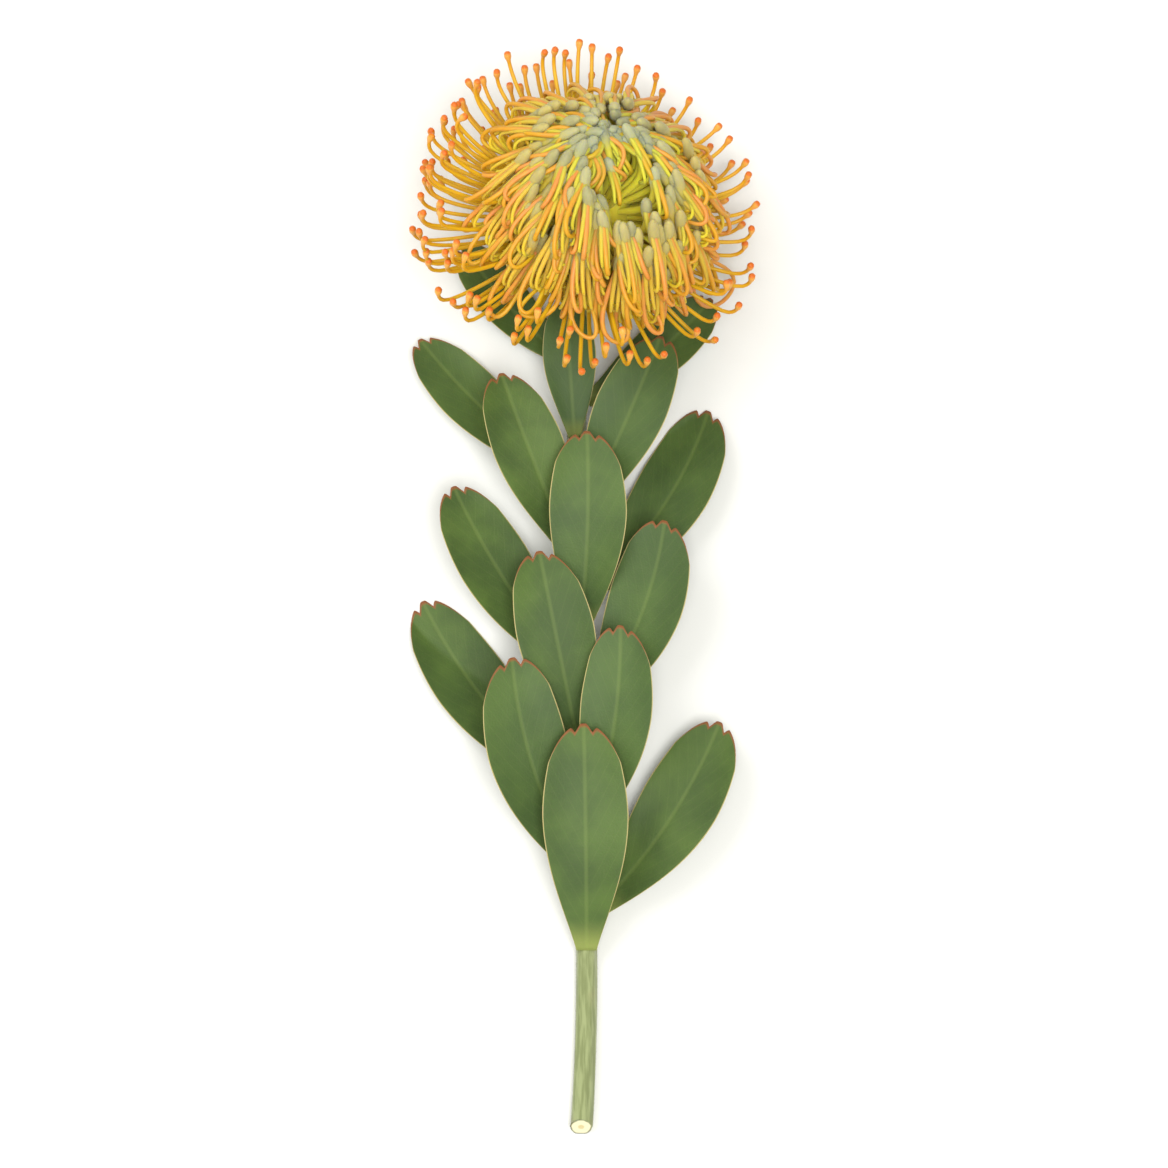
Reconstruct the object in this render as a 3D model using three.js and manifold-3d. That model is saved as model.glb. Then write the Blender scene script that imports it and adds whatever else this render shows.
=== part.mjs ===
// A pincushion flower, cut with a length of leafy stem and laid down on a table.
//
// Millimetres, +Z up. The stem lies along +Y from its cut end, and turns up at an elbow into the
// base of the flower head, which looks at the sky. The head's own shapes are worked out in a
// meridian plane: `r` is the distance from the head's axis, `w` the height along that axis, and
// an angle is measured from the axis, so that 0 points to the apex and 90 degrees straight out.
// At the end everything is moved so that the origin is the middle of the footprint, on the table.

import * as THREE from "three";
import { mergeVertices } from "three/addons/utils/BufferGeometryUtils.js";
import Module from "manifold-3d";

const wasm = await Module();
wasm.setup();

const DEGREE = Math.PI / 180;
const GOLDEN_ANGLE = Math.PI * (3 - Math.sqrt(5)); // the turn from one leaf or floret to the next
const GAP = 0.3; // kept between pieces that touch

// --- Driving dimensions ---------------------------------------------------------------------

// Stem: two Bezier stretches, the run along the table and the elbow up into the head.
const STEM_RUN = 263; // from the cut end to the foot of the elbow
const STEM_R_CUT = 3.6; // radius at the cut end
const STEM_R_NECK = 3.1; // radius under the head
const STEM_SWAY = 6; // how far the run wanders sideways
const STEM_SIDES = 10;
const STEM_PRESS = 0.15; // how much of its underside lies flat on the table
const RUN_STEPS = 18;
const ELBOW_STEPS = 8;
const ELBOW_REACH = 11; // larger makes the elbow rounder
const CUT_SLANT = 34 * DEGREE; // the cut end is cut on the slant

// Head: base of the receptacle, and the axis that leans to the far side and a little to the right.
const HEAD_BASE = new THREE.Vector3(0, 285, 18.5);
const HEAD_AXIS = new THREE.Vector3(0.13, 0.45, 0.88).normalize();
const HEAD_MIDDLE_W = 18; // height of the middle of the dome above the base
const CORE_R = 16; // receptacle and the packed tube bases on it, taken together
const CORE_TOP_W = 37;
const CORE_RINGS = 8;
const HEAD_SIDES = 14; // of the turned shapes on the head's axis

// Florets, in one golden-angle spiral from the apex to the rim.
const FLORETS = 106;
const APEX_GAP = 3; // places left empty at the very apex, which is a small hollow
const LAST_POLAR = 113 * DEGREE; // the lowest florets point a little backwards
const OPEN_POLAR = 79 * DEGREE; // florets further out than this have let their styles go
const OPEN_SWING = 19 * DEGREE; // the near right side opens later than the far left side
const SLOW_SIDE = 140 * DEGREE;
const ROOT_RHO = 12; // distance from the dome's middle to where a floret's own solid starts

const BUD_LENGTH = 37.5; // perianth tube and limb of a closed floret, from its root
const BUD_LENGTH_APEX = 31;
const BUD_R = 1.5; // radius of the tube
const LIMB_R = 2.1; // radius of the felted limb at its end
const BUD_SPLAY = 8 * DEGREE; // a bud starts out a little further from the axis than its root
const BUD_BEND = 104 * DEGREE; // and its end bends over this far, to lie towards the apex
const STYLE_R = 0.75;
const HOOP_SWELL = 0.5; // a hoop is this much thicker where the limb still grips it
const HOOP_OUT = [10, 23]; // how far a hoop is thrown out by the tube, at the apex and lower down
const HOOP_BACK = [6, 21]; // and by the limb, before it turns back
const HOOP_STEPS = 5;
const HOOP_SWING = 3.5; // a hoop sways to the side by up to this much
const LOOSE_THROW = 0.7; // a few old hoops are thrown out by up to this much more
const HOLLOW_POLAR = 42 * DEGREE; // florets lean away from this place on the near side of the
const HOLLOW_AZIMUTH = 150 * DEGREE; // apex, which leaves a hollow there
const HOLLOW_WIDTH = 20 * DEGREE;
const HOLLOW_LEAN = 29 * DEGREE;
const HOLLOW_UNBEND = 10 * DEGREE; // and they bend over this much less
const HOLLOW_LAG = 16 * DEGREE; // a limb lies this much nearer to the apex than its root
const EXIT_SHARE = 0.45; // the style leaves the tube at this share of its length
const LIMB_SHARE = 0.88; // and is held by the middle of the limb here
const STRAY = 1.6; // how far sideways a bud strays from its own meridian
const SLEEVE_LENGTH = 19; // what is left of an open floret's perianth
const SLEEVE_ROLL_R = 2; // its lobes, rolled back
const FREE_STYLE_LENGTH = 46; // free style, from the core outwards
const PRESENTER_R = 1.25; // the knob at a style's tip
const PRESENTER_LENGTH = 3.6;

// Involucre: pointed bracts in two rows under the head.
const BRACTS = 14;
const BRACT_REACH = 46 * DEGREE; // how far round the underside of the head the inner row comes
const BRACT_WIDTH = 5.6;
const BRACT_THICK = 0.9;
const NECK_LENGTH = 3.4; // the cup that the bracts grow on stands this far below the head

// Leaves.
const LEAF_COUNT = 16;
const FIRST_LEAF_Y = 58;
const LAST_LEAF_Y = 252;
const LEAF_LENGTH = 81;
const LEAF_WIDTH = 27;
const LEAF_THICK = 0.9; // measured upright
const LEAF_BOW = 6; // how far a tip may lie to the side of a straight midrib
const LEAF_FAN = 92 * DEGREE; // leaves point this far to either side of straight up
const LEAF_HEADROOM_Y = [195, 240]; // over this stretch leaves turn aside from under the head
const LEAF_ROWS = [0, 0.14, 0.36, 0.62, 0.85, 1];
const TOOTH = 0.62; // where the outer teeth stand, as a share of the half width
const LEAF_COLUMNS = [-1, -TOOTH, -TOOTH / 2, 0, TOOTH / 2, TOOTH, 1];

// --- Small helpers --------------------------------------------------------------------------

const clamp01 = (x) => Math.min(1, Math.max(0, x));

function smooth(x) {
  const t = clamp01(x);
  return t * t * (3 - 2 * t);
}

const mix = (a, b, t) => a + (b - a) * t;

// A fixed draw between -1 and 1 for piece k, the same on every run.
function draw(k, salt) {
  const x = Math.sin(k * 12.9898 + salt * 78.233) * 43758.5453;
  return 2 * (x - Math.floor(x)) - 1;
}

// A closed mesh as a solid.
function solid(geometry) {
  const bare = geometry.clone();
  bare.deleteAttribute("normal");
  bare.deleteAttribute("uv");
  const merged = mergeVertices(bare, 1e-4);
  return new wasm.Manifold(
    new wasm.Mesh({
      numProp: 3,
      vertProperties: merged.attributes.position.array,
      triVerts: new Uint32Array(merged.index.array),
    }),
  );
}

function geometryOf(manifold) {
  const mesh = manifold.getMesh();
  const corners = new Float32Array(mesh.numVert * 3);
  for (let i = 0; i < mesh.numVert; i++) {
    corners.set(mesh.vertProperties.subarray(i * mesh.numProp, i * mesh.numProp + 3), i * 3);
  }
  const geometry = new THREE.BufferGeometry();
  geometry.setAttribute("position", new THREE.BufferAttribute(corners, 3));
  geometry.setIndex(new THREE.BufferAttribute(mesh.triVerts, 1));
  return geometry;
}

// Joins solids two by two, which keeps every step small.
function join(solids) {
  let pending = solids;
  while (pending.length > 1) {
    const next = [];
    for (let i = 0; i < pending.length; i += 2) {
      next.push(i + 1 < pending.length ? pending[i].add(pending[i + 1]) : pending[i]);
    }
    pending = next;
  }
  return pending[0];
}

// A closed tube through points, with a radius at each; `across` sets which way its corners face.
function tube(points, radii, sides, across) {
  const corners = [];
  const faces = [];
  points.forEach((point, i) => {
    const before = points[Math.max(0, i - 1)];
    const after = points[Math.min(points.length - 1, i + 1)];
    const along = after.clone().sub(before).normalize();
    const side = across.clone().addScaledVector(along, -across.dot(along)).normalize();
    const up = new THREE.Vector3().crossVectors(along, side);
    for (let j = 0; j < sides; j++) {
      const turn = (2 * Math.PI * j) / sides;
      const corner = point
        .clone()
        .addScaledVector(side, radii[i] * Math.cos(turn))
        .addScaledVector(up, radii[i] * Math.sin(turn));
      corners.push(corner.x, corner.y, corner.z);
    }
  });
  const last = (points.length - 1) * sides;
  for (let i = 0; i < last; i += sides) {
    for (let j = 0; j < sides; j++) {
      const k = (j + 1) % sides;
      faces.push(i + j, i + k, i + sides + k, i + j, i + sides + k, i + sides + j);
    }
  }
  for (let j = 1; j + 1 < sides; j++) {
    faces.push(0, j + 1, j, last, last + j, last + j + 1);
  }
  const geometry = new THREE.BufferGeometry();
  geometry.setAttribute("position", new THREE.Float32BufferAttribute(corners, 3));
  geometry.setIndex(faces);
  return geometry;
}

// Everything below the table top, as a slab to cut away with.
function belowTable() {
  const slab = new THREE.BoxGeometry(400, 800, 50);
  slab.translate(0, 200, -25);
  return solid(slab);
}

const TABLE_CUT = belowTable();

// --- Stem -----------------------------------------------------------------------------------

// Height of the stem's middle where it lies on the table, pressed a little flat underneath.
const LYING_Z = STEM_R_CUT * Math.cos(Math.PI / STEM_SIDES) - STEM_PRESS;
const ELBOW_FOOT = new THREE.Vector3(0, STEM_RUN, 5);

function stemRun() {
  return new THREE.CubicBezierCurve3(
    new THREE.Vector3(0, 0, LYING_Z),
    new THREE.Vector3(STEM_SWAY, STEM_RUN / 3, LYING_Z - 0.1),
    new THREE.Vector3(-STEM_SWAY, (STEM_RUN * 2) / 3, LYING_Z - 0.4),
    ELBOW_FOOT,
  );
}

const RUN = stemRun();

function stemElbow() {
  return new THREE.CubicBezierCurve3(
    ELBOW_FOOT,
    ELBOW_FOOT.clone().addScaledVector(RUN.getTangent(1), ELBOW_REACH),
    HEAD_BASE.clone().addScaledVector(HEAD_AXIS, -ELBOW_REACH - NECK_LENGTH),
    HEAD_BASE.clone().addScaledVector(HEAD_AXIS, -NECK_LENGTH),
  );
}

const ELBOW = stemElbow();

// The stem before its cuts, made thicker all round by `extra`.
function stemSolid(extra) {
  const points = [];
  const radii = [];
  for (let i = 0; i < RUN_STEPS; i++) {
    points.push(RUN.getPoint(i / RUN_STEPS));
    radii.push(mix(STEM_R_CUT, STEM_R_NECK, i / RUN_STEPS) + extra);
  }
  for (let i = 0; i <= ELBOW_STEPS; i++) {
    points.push(ELBOW.getPoint(i / ELBOW_STEPS));
    radii.push(STEM_R_NECK + extra);
  }
  return solid(tube(points, radii, STEM_SIDES, new THREE.Vector3(1, 0, 0)));
}

function slantCut() {
  const block = new THREE.BoxGeometry(40, 40, 60);
  block.translate(0, -20, 0);
  block.rotateX(-CUT_SLANT);
  block.translate(0, STEM_R_CUT * Math.tan(CUT_SLANT) + 0.3, STEM_R_CUT);
  return solid(block);
}

function stem() {
  return stemSolid(0).subtract(slantCut()).subtract(TABLE_CUT);
}

const STEM_CLEARANCE = stemSolid(GAP);

// --- Flower head ----------------------------------------------------------------------------

// The head's three directions: far (up the table), right, and along its axis.
const HEAD_FAR = new THREE.Vector3(0, 1, 0)
  .addScaledVector(HEAD_AXIS, -HEAD_AXIS.y)
  .normalize();
const HEAD_RIGHT = new THREE.Vector3().crossVectors(HEAD_FAR, HEAD_AXIS);

// A meridian point (r, w) at an azimuth, moved off its meridian by `aside`; the table lifts it.
function headPoint([r, w], azimuth, aside, lift) {
  const c = Math.cos(azimuth);
  const s = Math.sin(azimuth);
  const point = HEAD_BASE.clone()
    .addScaledVector(HEAD_AXIS, w)
    .addScaledVector(HEAD_FAR, r * c - aside * s)
    .addScaledVector(HEAD_RIGHT, r * s + aside * c);
  point.z = Math.max(point.z, lift);
  return point;
}

const polarPoint = (rho, angle) => [
  rho * Math.sin(angle),
  HEAD_MIDDLE_W + rho * Math.cos(angle),
];

const step = ([r, w], distance, angle) => [
  r + distance * Math.sin(angle),
  w + distance * Math.cos(angle),
];

// Follows a heading that changes with t, and gives the points at the shares asked for.
function follow(start, length, heading, shares) {
  const fine = 60;
  const track = [start];
  for (let i = 0; i < fine; i++) {
    track.push(step(track[i], length / fine, heading((i + 0.5) / fine)));
  }
  return shares.map((t) => track[Math.round(t * fine)]);
}

// The four-point Bezier curve of the meridian plane.
function bow([a, b, c, d], t) {
  const u = 1 - t;
  const blend = (i) =>
    u * u * u * a[i] + 3 * u * u * t * b[i] + 3 * u * t * t * c[i] + t * t * t * d[i];
  return [blend(0), blend(1)];
}

function floretFacts(k) {
  const place = k + APEX_GAP;
  const share = (place + 0.5) / (FLORETS + APEX_GAP);
  const polar = Math.acos(1 - share * (1 - Math.cos(LAST_POLAR)));
  const azimuth = place * GOLDEN_ANGLE;
  const opens = OPEN_POLAR + OPEN_SWING * Math.cos(azimuth - SLOW_SIDE);
  return { k, polar, azimuth, open: polar + draw(k, 1) * 5 * DEGREE > opens };
}

// How near a floret is to the hollow, 1 in its middle, and how far it leans from it: outward,
// away from the apex, and aside.
function parting(polar, azimuth) {
  const down = polar - HOLLOW_POLAR;
  const swing = azimuth - HOLLOW_AZIMUTH;
  const aside = Math.atan2(Math.sin(swing), Math.cos(swing)) * Math.sin(polar);
  const distance = Math.hypot(down, aside);
  const near = Math.exp(-((distance / HOLLOW_WIDTH) ** 2));
  const lean = (HOLLOW_LEAN * near) / distance;
  return { near, outward: lean * down, aside: lean * aside };
}

function budHeading({ k, polar, azimuth }) {
  const { near, outward } = parting(polar, azimuth);
  const full = Math.min(BUD_BEND, 66 * DEGREE + polar * 0.7) + 9 * DEGREE * draw(k, 11);
  const bend = full - HOLLOW_UNBEND * near;
  return (t) => polar + BUD_SPLAY + outward - bend * smooth((t - 0.3) / 0.55);
}

// How far a bud is to the side of its own meridian, at share t of its length.
function budAside({ k, polar, azimuth }, length, t) {
  const lean = parting(polar, azimuth).aside;
  return STRAY * draw(k, 2) * t ** 2 + length * Math.sin(lean) * t;
}

// A closed floret: a bent tube that ends in the felted limb.
function budTube(facts) {
  const { polar, azimuth } = facts;
  const length = mix(BUD_LENGTH_APEX, BUD_LENGTH, smooth(polar / (60 * DEGREE)));
  const shares = [0, 0.5, 0.75, LIMB_SHARE, 1];
  const radii = [BUD_R, BUD_R, BUD_R, LIMB_R, LIMB_R * 0.6];
  const track = follow(polarPoint(ROOT_RHO, polar), length, budHeading(facts), shares);
  const points = track.map((p, i) =>
    headPoint(p, azimuth, budAside(facts, length, shares[i]), BUD_R / 2),
  );
  return { points, radii, length };
}

// Its style, which has outgrown the tube: it bows out of the tube and back to the limb.
function hoop(facts, length) {
  const { k, polar, azimuth } = facts;
  const root = polarPoint(ROOT_RHO, polar);
  const [exit, hold] = follow(root, length, budHeading(facts), [EXIT_SHARE, LIMB_SHARE]);
  const grown = smooth((polar - 10 * DEGREE) / (55 * DEGREE)) * (1 + 0.2 * draw(k, 3));
  const loose = LOOSE_THROW * Math.max(0, draw(k, 19)) ** 3 * (polar / LAST_POLAR);
  const thrown = (1 + loose) * (1 - 0.35 * parting(polar + HOLLOW_LAG, azimuth).near);
  const leaving = polar + (26 + 10 * grown) * DEGREE;
  const out = step(exit, thrown * mix(...HOOP_OUT, grown), leaving);
  const holding = polar + (66 + 12 * draw(k, 4)) * DEGREE;
  const back = step(hold, thrown * mix(...HOOP_BACK, grown), holding);
  const points = [];
  const radii = [];
  for (let i = 0; i <= HOOP_STEPS; i++) {
    const t = i / HOOP_STEPS;
    const stray = budAside(facts, length, mix(EXIT_SHARE, LIMB_SHARE, t));
    const aside = stray + HOOP_SWING * draw(k, 5) * Math.sin(Math.PI * t);
    points.push(headPoint(bow([exit, out, back, hold], t), azimuth, aside, STYLE_R / 2));
    radii.push(STYLE_R + HOOP_SWELL * t ** 2);
  }
  return { points, radii };
}

// The short sleeve that is left of an open floret's perianth, thick where its lobes roll back.
function sleeve({ k, polar, azimuth }) {
  const shares = [0, 0.8, 1];
  const length = SLEEVE_LENGTH + 2.5 * draw(k, 6);
  const heading = (t) => polar + 3 * DEGREE - 16 * DEGREE * t * t;
  const points = follow(polarPoint(ROOT_RHO, polar), length, heading, shares).map((p) =>
    headPoint(p, azimuth, 0, BUD_R / 2),
  );
  return { points, radii: [BUD_R, SLEEVE_ROLL_R, SLEEVE_ROLL_R * 0.6] };
}

// Its style, free at last: it sweeps out, curls up and ends in the pollen presenter.
function freeStyle({ k, polar, azimuth }) {
  const length = FREE_STYLE_LENGTH * (1 + 0.06 * draw(k, 7));
  const sweep = (36 + 12 * draw(k, 8)) * DEGREE;
  const nearSide = 0.5 - 0.5 * Math.cos(azimuth);
  const hook = (mix(28, 88, nearSide) + 26 * draw(k, 9)) * DEGREE;
  const heading = (t) => polar + 7 * DEGREE - sweep * t * t - hook * smooth((t - 0.76) / 0.22);
  const knob = PRESENTER_LENGTH / length;
  const shares = [0, 0.38, 0.66, 0.85, 1 - knob, 1 - knob * 0.45, 1];
  const radii = shares.map(() => STYLE_R);
  radii[5] = PRESENTER_R;
  radii[6] = STYLE_R * 0.9;
  const aside = (t) => 2 * STRAY * draw(k, 10) * t ** 2;
  const track = follow(polarPoint(ROOT_RHO + 3, polar), length, heading, shares);
  const points = track.map((p, i) => headPoint(p, azimuth, aside(shares[i]), STYLE_R / 2));
  return { points, radii };
}

// Stands a turned shape on the head's axis.
function onHeadAxis(shape) {
  const frame = new THREE.Matrix4().makeBasis(HEAD_FAR, HEAD_AXIS, HEAD_RIGHT);
  return shape.applyMatrix4(frame.setPosition(HEAD_BASE));
}

function core() {
  const profile = [];
  for (let i = 0; i <= CORE_RINGS; i++) {
    const turn = (Math.PI * i) / CORE_RINGS;
    const w = GAP + CORE_TOP_W * (0.5 - 0.5 * Math.cos(turn));
    profile.push(new THREE.Vector2(CORE_R * Math.sin(turn), w));
  }
  return solid(onHeadAxis(new THREE.LatheGeometry(profile, HEAD_SIDES)));
}

function flowerHead() {
  const pieces = [core()];
  const add = ({ points, radii }, sides, azimuth) => {
    const across = HEAD_RIGHT.clone()
      .multiplyScalar(Math.cos(azimuth))
      .addScaledVector(HEAD_FAR, -Math.sin(azimuth));
    pieces.push(solid(tube(points, radii, sides, across)));
  };
  for (let k = 0; k < FLORETS; k++) {
    const facts = floretFacts(k);
    if (facts.open) {
      add(sleeve(facts), 3, facts.azimuth);
      add(freeStyle(facts), 3, facts.azimuth);
    } else {
      const bud = budTube(facts);
      add(bud, 3, facts.azimuth);
      if (facts.polar > 14 * DEGREE) add(hoop(facts, bud.length), 3, facts.azimuth);
    }
  }
  return join(pieces).subtract(TABLE_CUT);
}

// --- Involucre ------------------------------------------------------------------------------

// A place just outside the core's rounded underside, `turn` round from its lowest point.
function underHead(turn, outside) {
  const half = CORE_TOP_W / 2;
  return [
    (CORE_R + outside) * Math.sin(turn),
    GAP + half - (half + outside) * Math.cos(turn),
  ];
}

// One pointed bract, which follows the underside of the head.
function bract(i) {
  const azimuth = (2 * Math.PI * i) / BRACTS;
  const outer = i % 2;
  const from = (outer ? 8 : 16) * DEGREE;
  const reach = BRACT_REACH - outer * 9 * DEGREE;
  const shares = [0, 0.4, 0.75, 1];
  const widths = [0.7, 1, 0.7, 0.14];
  const corners = [];
  const faces = [];
  shares.forEach((t, row) => {
    const half = (BRACT_WIDTH / 2) * widths[row];
    const inside = GAP * 2 + outer * 0.5 + t * t * (0.6 + outer);
    for (const [side, outside] of [
      [-1, inside],
      [1, inside],
      [1, inside + BRACT_THICK],
      [-1, inside + BRACT_THICK],
    ]) {
      const place = underHead(mix(from, reach, t), outside);
      const corner = headPoint(place, azimuth, side * half, 0);
      corners.push(corner.x, corner.y, corner.z);
    }
  });
  const last = (shares.length - 1) * 4;
  for (let a = 0; a < last; a += 4) {
    for (let j = 0; j < 4; j++) {
      const k = (j + 1) % 4;
      faces.push(a + j, a + k, a + 4 + k, a + j, a + 4 + k, a + 4 + j);
    }
  }
  faces.push(0, 2, 1, 0, 3, 2, last, last + 1, last + 2, last, last + 2, last + 3);
  const geometry = new THREE.BufferGeometry();
  geometry.setAttribute("position", new THREE.Float32BufferAttribute(corners, 3));
  geometry.setIndex(faces);
  return solid(geometry);
}

// The bracts grow on a low solid cup between the stem's top and the head.
function involucre() {
  const profile = [new THREE.Vector2(0, -NECK_LENGTH + GAP)];
  profile.push(new THREE.Vector2(STEM_R_NECK, -NECK_LENGTH + GAP));
  const turns = [34, 22, 10].map((turn) => turn * DEGREE);
  profile.push(new THREE.Vector2(...underHead(turns[0], 2.4)));
  for (const turn of turns) profile.push(new THREE.Vector2(...underHead(turn, GAP)));
  profile.push(new THREE.Vector2(0, 0));
  const blades = Array.from({ length: BRACTS }, (_, i) => bract(i));
  const cup = solid(onHeadAxis(new THREE.LatheGeometry(profile, HEAD_SIDES)));
  return join([cup, ...blades]);
}

// --- Leaves ---------------------------------------------------------------------------------

// Leaf i of the spiral: where it grows, which way it points and how big it is. Leaves that grow
// on the underside are pressed out to the sides by the table, so the whole spiral is fanned over
// the upper half. Right under the head they are smaller, and lie flatter or further aside.
function leafFacts(i) {
  const share = i / (LEAF_COUNT - 1);
  const y = mix(FIRST_LEAF_Y, LAST_LEAF_Y, share);
  const [from, to] = LEAF_HEADROOM_Y;
  const under = smooth((y - from) / (to - from));
  const turn = ((i * GOLDEN_ANGLE + Math.PI) % (2 * Math.PI)) / Math.PI - 1;
  const low = Math.abs(turn);
  const aside = mix(low * LEAF_FAN, LEAF_FAN * 0.95, under * smooth(low * 2));
  const size = mix(1, 0.8, share) * (1 + 0.09 * draw(i, 20)) * mix(1, mix(0.6, 1, low), under);
  return {
    at: RUN.getPoint(y / STEM_RUN),
    side: Math.sign(turn) * aside,
    length: LEAF_LENGTH * size,
    width: LEAF_WIDTH * Math.sqrt(size) * (1 + 0.08 * draw(i, 21)) * mix(1, 0.85, under),
    bow: LEAF_BOW * draw(i, 24) * (1 - under),
    leave: mix(mix(34, 52, low), mix(20, 78, low), under) * DEGREE,
    end: mix(mix(12, 26, low), mix(4, 55, low), under) * DEGREE,
    bank: mix(22, 8, under) * DEGREE * Math.sin(aside) * Math.sign(turn),
    droop: mix(10, 3, low) * (1 - under) + 7 * smooth((low - 0.6) / 0.3),
    cup: mix(2.2, 1.4, under),
  };
}

// Half width along the blade, as a share of the widest.
function leafOutline(t) {
  const grow = 0.24 + 0.76 * Math.sin((Math.PI / 2) * clamp01(t / 0.62)) ** 1.15;
  const close = 1 - 0.42 * clamp01((t - 0.6) / 0.4) ** 1.8;
  return grow * close;
}

// How far short of the tip each column ends: round shoulders, three teeth and two notches.
function leafTipDrop(c) {
  const a = Math.abs(c);
  const notch = a < TOOTH ? 0.03 * Math.sin((Math.PI * a) / TOOTH) ** 2 : 0;
  return 0.1 * a ** 2.4 + notch;
}

// A point of the blade's middle surface; s runs from base to tip and c from edge to edge.
function leafPoint(leaf, s, c) {
  const t = s * (1 - leafTipDrop(c));
  const turned = leaf.leave - leaf.end;
  const angle = leaf.leave - turned * t;
  const forward = (leaf.length * (Math.sin(leaf.leave) - Math.sin(angle))) / turned;
  const outward = (leaf.length * (Math.cos(angle) - Math.cos(leaf.leave))) / turned;
  const out = new THREE.Vector3(Math.sin(leaf.side), 0, Math.cos(leaf.side));
  const along = new THREE.Vector3(0, Math.cos(angle), 0).addScaledVector(out, Math.sin(angle));
  const flat = new THREE.Vector3(along.y, -along.x, 0).normalize();
  const over = new THREE.Vector3().crossVectors(flat, along);
  const half = (leaf.width / 2) * leafOutline(t) * c;
  const point = leaf.at
    .clone()
    .addScaledVector(out, STEM_R_CUT * 0.9 + outward)
    .addScaledVector(flat, half * Math.cos(leaf.bank) + leaf.bow * t * t)
    .addScaledVector(over, half * Math.sin(leaf.bank));
  point.y += forward;
  point.z += leaf.cup * leafOutline(t) * c * c - leaf.droop * t * t;
  point.z = Math.max(point.z, LEAF_THICK / 2);
  return point;
}

function leafSolid(leaf) {
  const corners = [];
  const faces = [];
  const columns = LEAF_COLUMNS.length;
  const layer = LEAF_ROWS.length * columns;
  for (const lift of [-LEAF_THICK / 2, LEAF_THICK / 2]) {
    for (const s of LEAF_ROWS) {
      for (const c of LEAF_COLUMNS) {
        const p = leafPoint(leaf, s, c);
        corners.push(p.x, p.y, p.z + lift);
      }
    }
  }
  const quad = (a, b, c, d) => faces.push(a, b, c, a, c, d);
  for (let i = 0; i + 1 < LEAF_ROWS.length; i++) {
    for (let j = 0; j + 1 < columns; j++) {
      const a = i * columns + j;
      const b = a + 1;
      const c = a + columns + 1;
      const d = a + columns;
      faces.push(a, d, b, b, d, c);
      faces.push(a + layer, b + layer, d + layer, b + layer, c + layer, d + layer);
    }
  }
  for (let i = 0; i + 1 < LEAF_ROWS.length; i++) {
    const left = i * columns;
    const right = left + columns - 1;
    quad(left, left + layer, left + columns + layer, left + columns);
    quad(right, right + columns, right + columns + layer, right + layer);
  }
  for (let j = 0; j + 1 < columns; j++) {
    const tip = (LEAF_ROWS.length - 1) * columns + j;
    quad(j, j + 1, j + 1 + layer, j + layer);
    quad(tip, tip + layer, tip + 1 + layer, tip + 1);
  }
  const geometry = new THREE.BufferGeometry();
  geometry.setAttribute("position", new THREE.Float32BufferAttribute(corners, 3));
  geometry.setIndex(faces);
  return solid(geometry).subtract(STEM_CLEARANCE);
}

// --- Assembly -------------------------------------------------------------------------------

function matt(color, roughness) {
  return new THREE.MeshStandardMaterial({ color, roughness, metalness: 0, flatShading: true });
}

const flower = new THREE.Group();

function addNode(name, manifold, material) {
  const mesh = new THREE.Mesh(geometryOf(manifold), material);
  mesh.name = name;
  flower.add(mesh);
}

addNode("stem", stem(), matt(0x6f7a4a, 0.85));
addNode("involucre", involucre(), matt(0x8c8a5a, 0.9));
addNode("flower_head", flowerHead(), matt(0xe8a72c, 0.6));
for (let i = 0; i < LEAF_COUNT; i++) {
  const name = "leaf_" + String(i + 1).padStart(2, "0");
  addNode(name, leafSolid(leafFacts(i)), matt(0x4a6b3c, 0.65));
}

const footprint = new THREE.Box3().setFromObject(flower);
const middle = footprint.getCenter(new THREE.Vector3());
flower.position.set(-middle.x, -middle.y, -footprint.min.z);

export default flower;
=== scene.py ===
# %% [markdown]
# # Dressing a pincushion flower
# The solid model gives a cut pincushion flower that lies on a table: a leafy stem, and a domed
# head that looks up. It is right in size and place, but its florets are few and three-sided.
# This lesson replaces every solid with the finer thing that grows there: felted buds, looped
# and free styles, hairy bracts, leathery leaves and bark. All of it follows the same rules as
# the solids, so nothing has to be fitted by eye.

import math

import bpy
import numpy as np
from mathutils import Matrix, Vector


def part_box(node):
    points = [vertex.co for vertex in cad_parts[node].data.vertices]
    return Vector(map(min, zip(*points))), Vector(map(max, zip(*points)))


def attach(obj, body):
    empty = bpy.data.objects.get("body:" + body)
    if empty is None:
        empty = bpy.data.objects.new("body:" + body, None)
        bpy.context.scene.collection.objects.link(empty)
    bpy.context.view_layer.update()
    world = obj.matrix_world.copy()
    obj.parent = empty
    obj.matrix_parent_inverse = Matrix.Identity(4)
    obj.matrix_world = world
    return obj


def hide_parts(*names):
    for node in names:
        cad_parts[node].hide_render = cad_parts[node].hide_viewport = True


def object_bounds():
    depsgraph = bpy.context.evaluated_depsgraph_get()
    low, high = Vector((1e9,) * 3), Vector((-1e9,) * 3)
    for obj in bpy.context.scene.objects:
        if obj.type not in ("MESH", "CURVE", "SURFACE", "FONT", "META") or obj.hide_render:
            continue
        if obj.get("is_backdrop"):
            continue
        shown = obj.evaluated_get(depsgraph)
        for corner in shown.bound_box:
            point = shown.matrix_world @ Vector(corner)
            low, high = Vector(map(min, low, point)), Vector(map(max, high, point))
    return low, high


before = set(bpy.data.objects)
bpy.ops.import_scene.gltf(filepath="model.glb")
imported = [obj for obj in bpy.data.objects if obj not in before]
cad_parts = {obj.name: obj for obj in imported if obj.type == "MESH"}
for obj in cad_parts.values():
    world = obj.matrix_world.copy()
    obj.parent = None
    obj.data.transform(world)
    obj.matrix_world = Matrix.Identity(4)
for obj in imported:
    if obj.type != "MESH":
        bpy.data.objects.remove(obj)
cad_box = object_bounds()
print("solid model, mm:", [round(1000 * (b - a)) for a, b in zip(*cad_box)])

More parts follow.
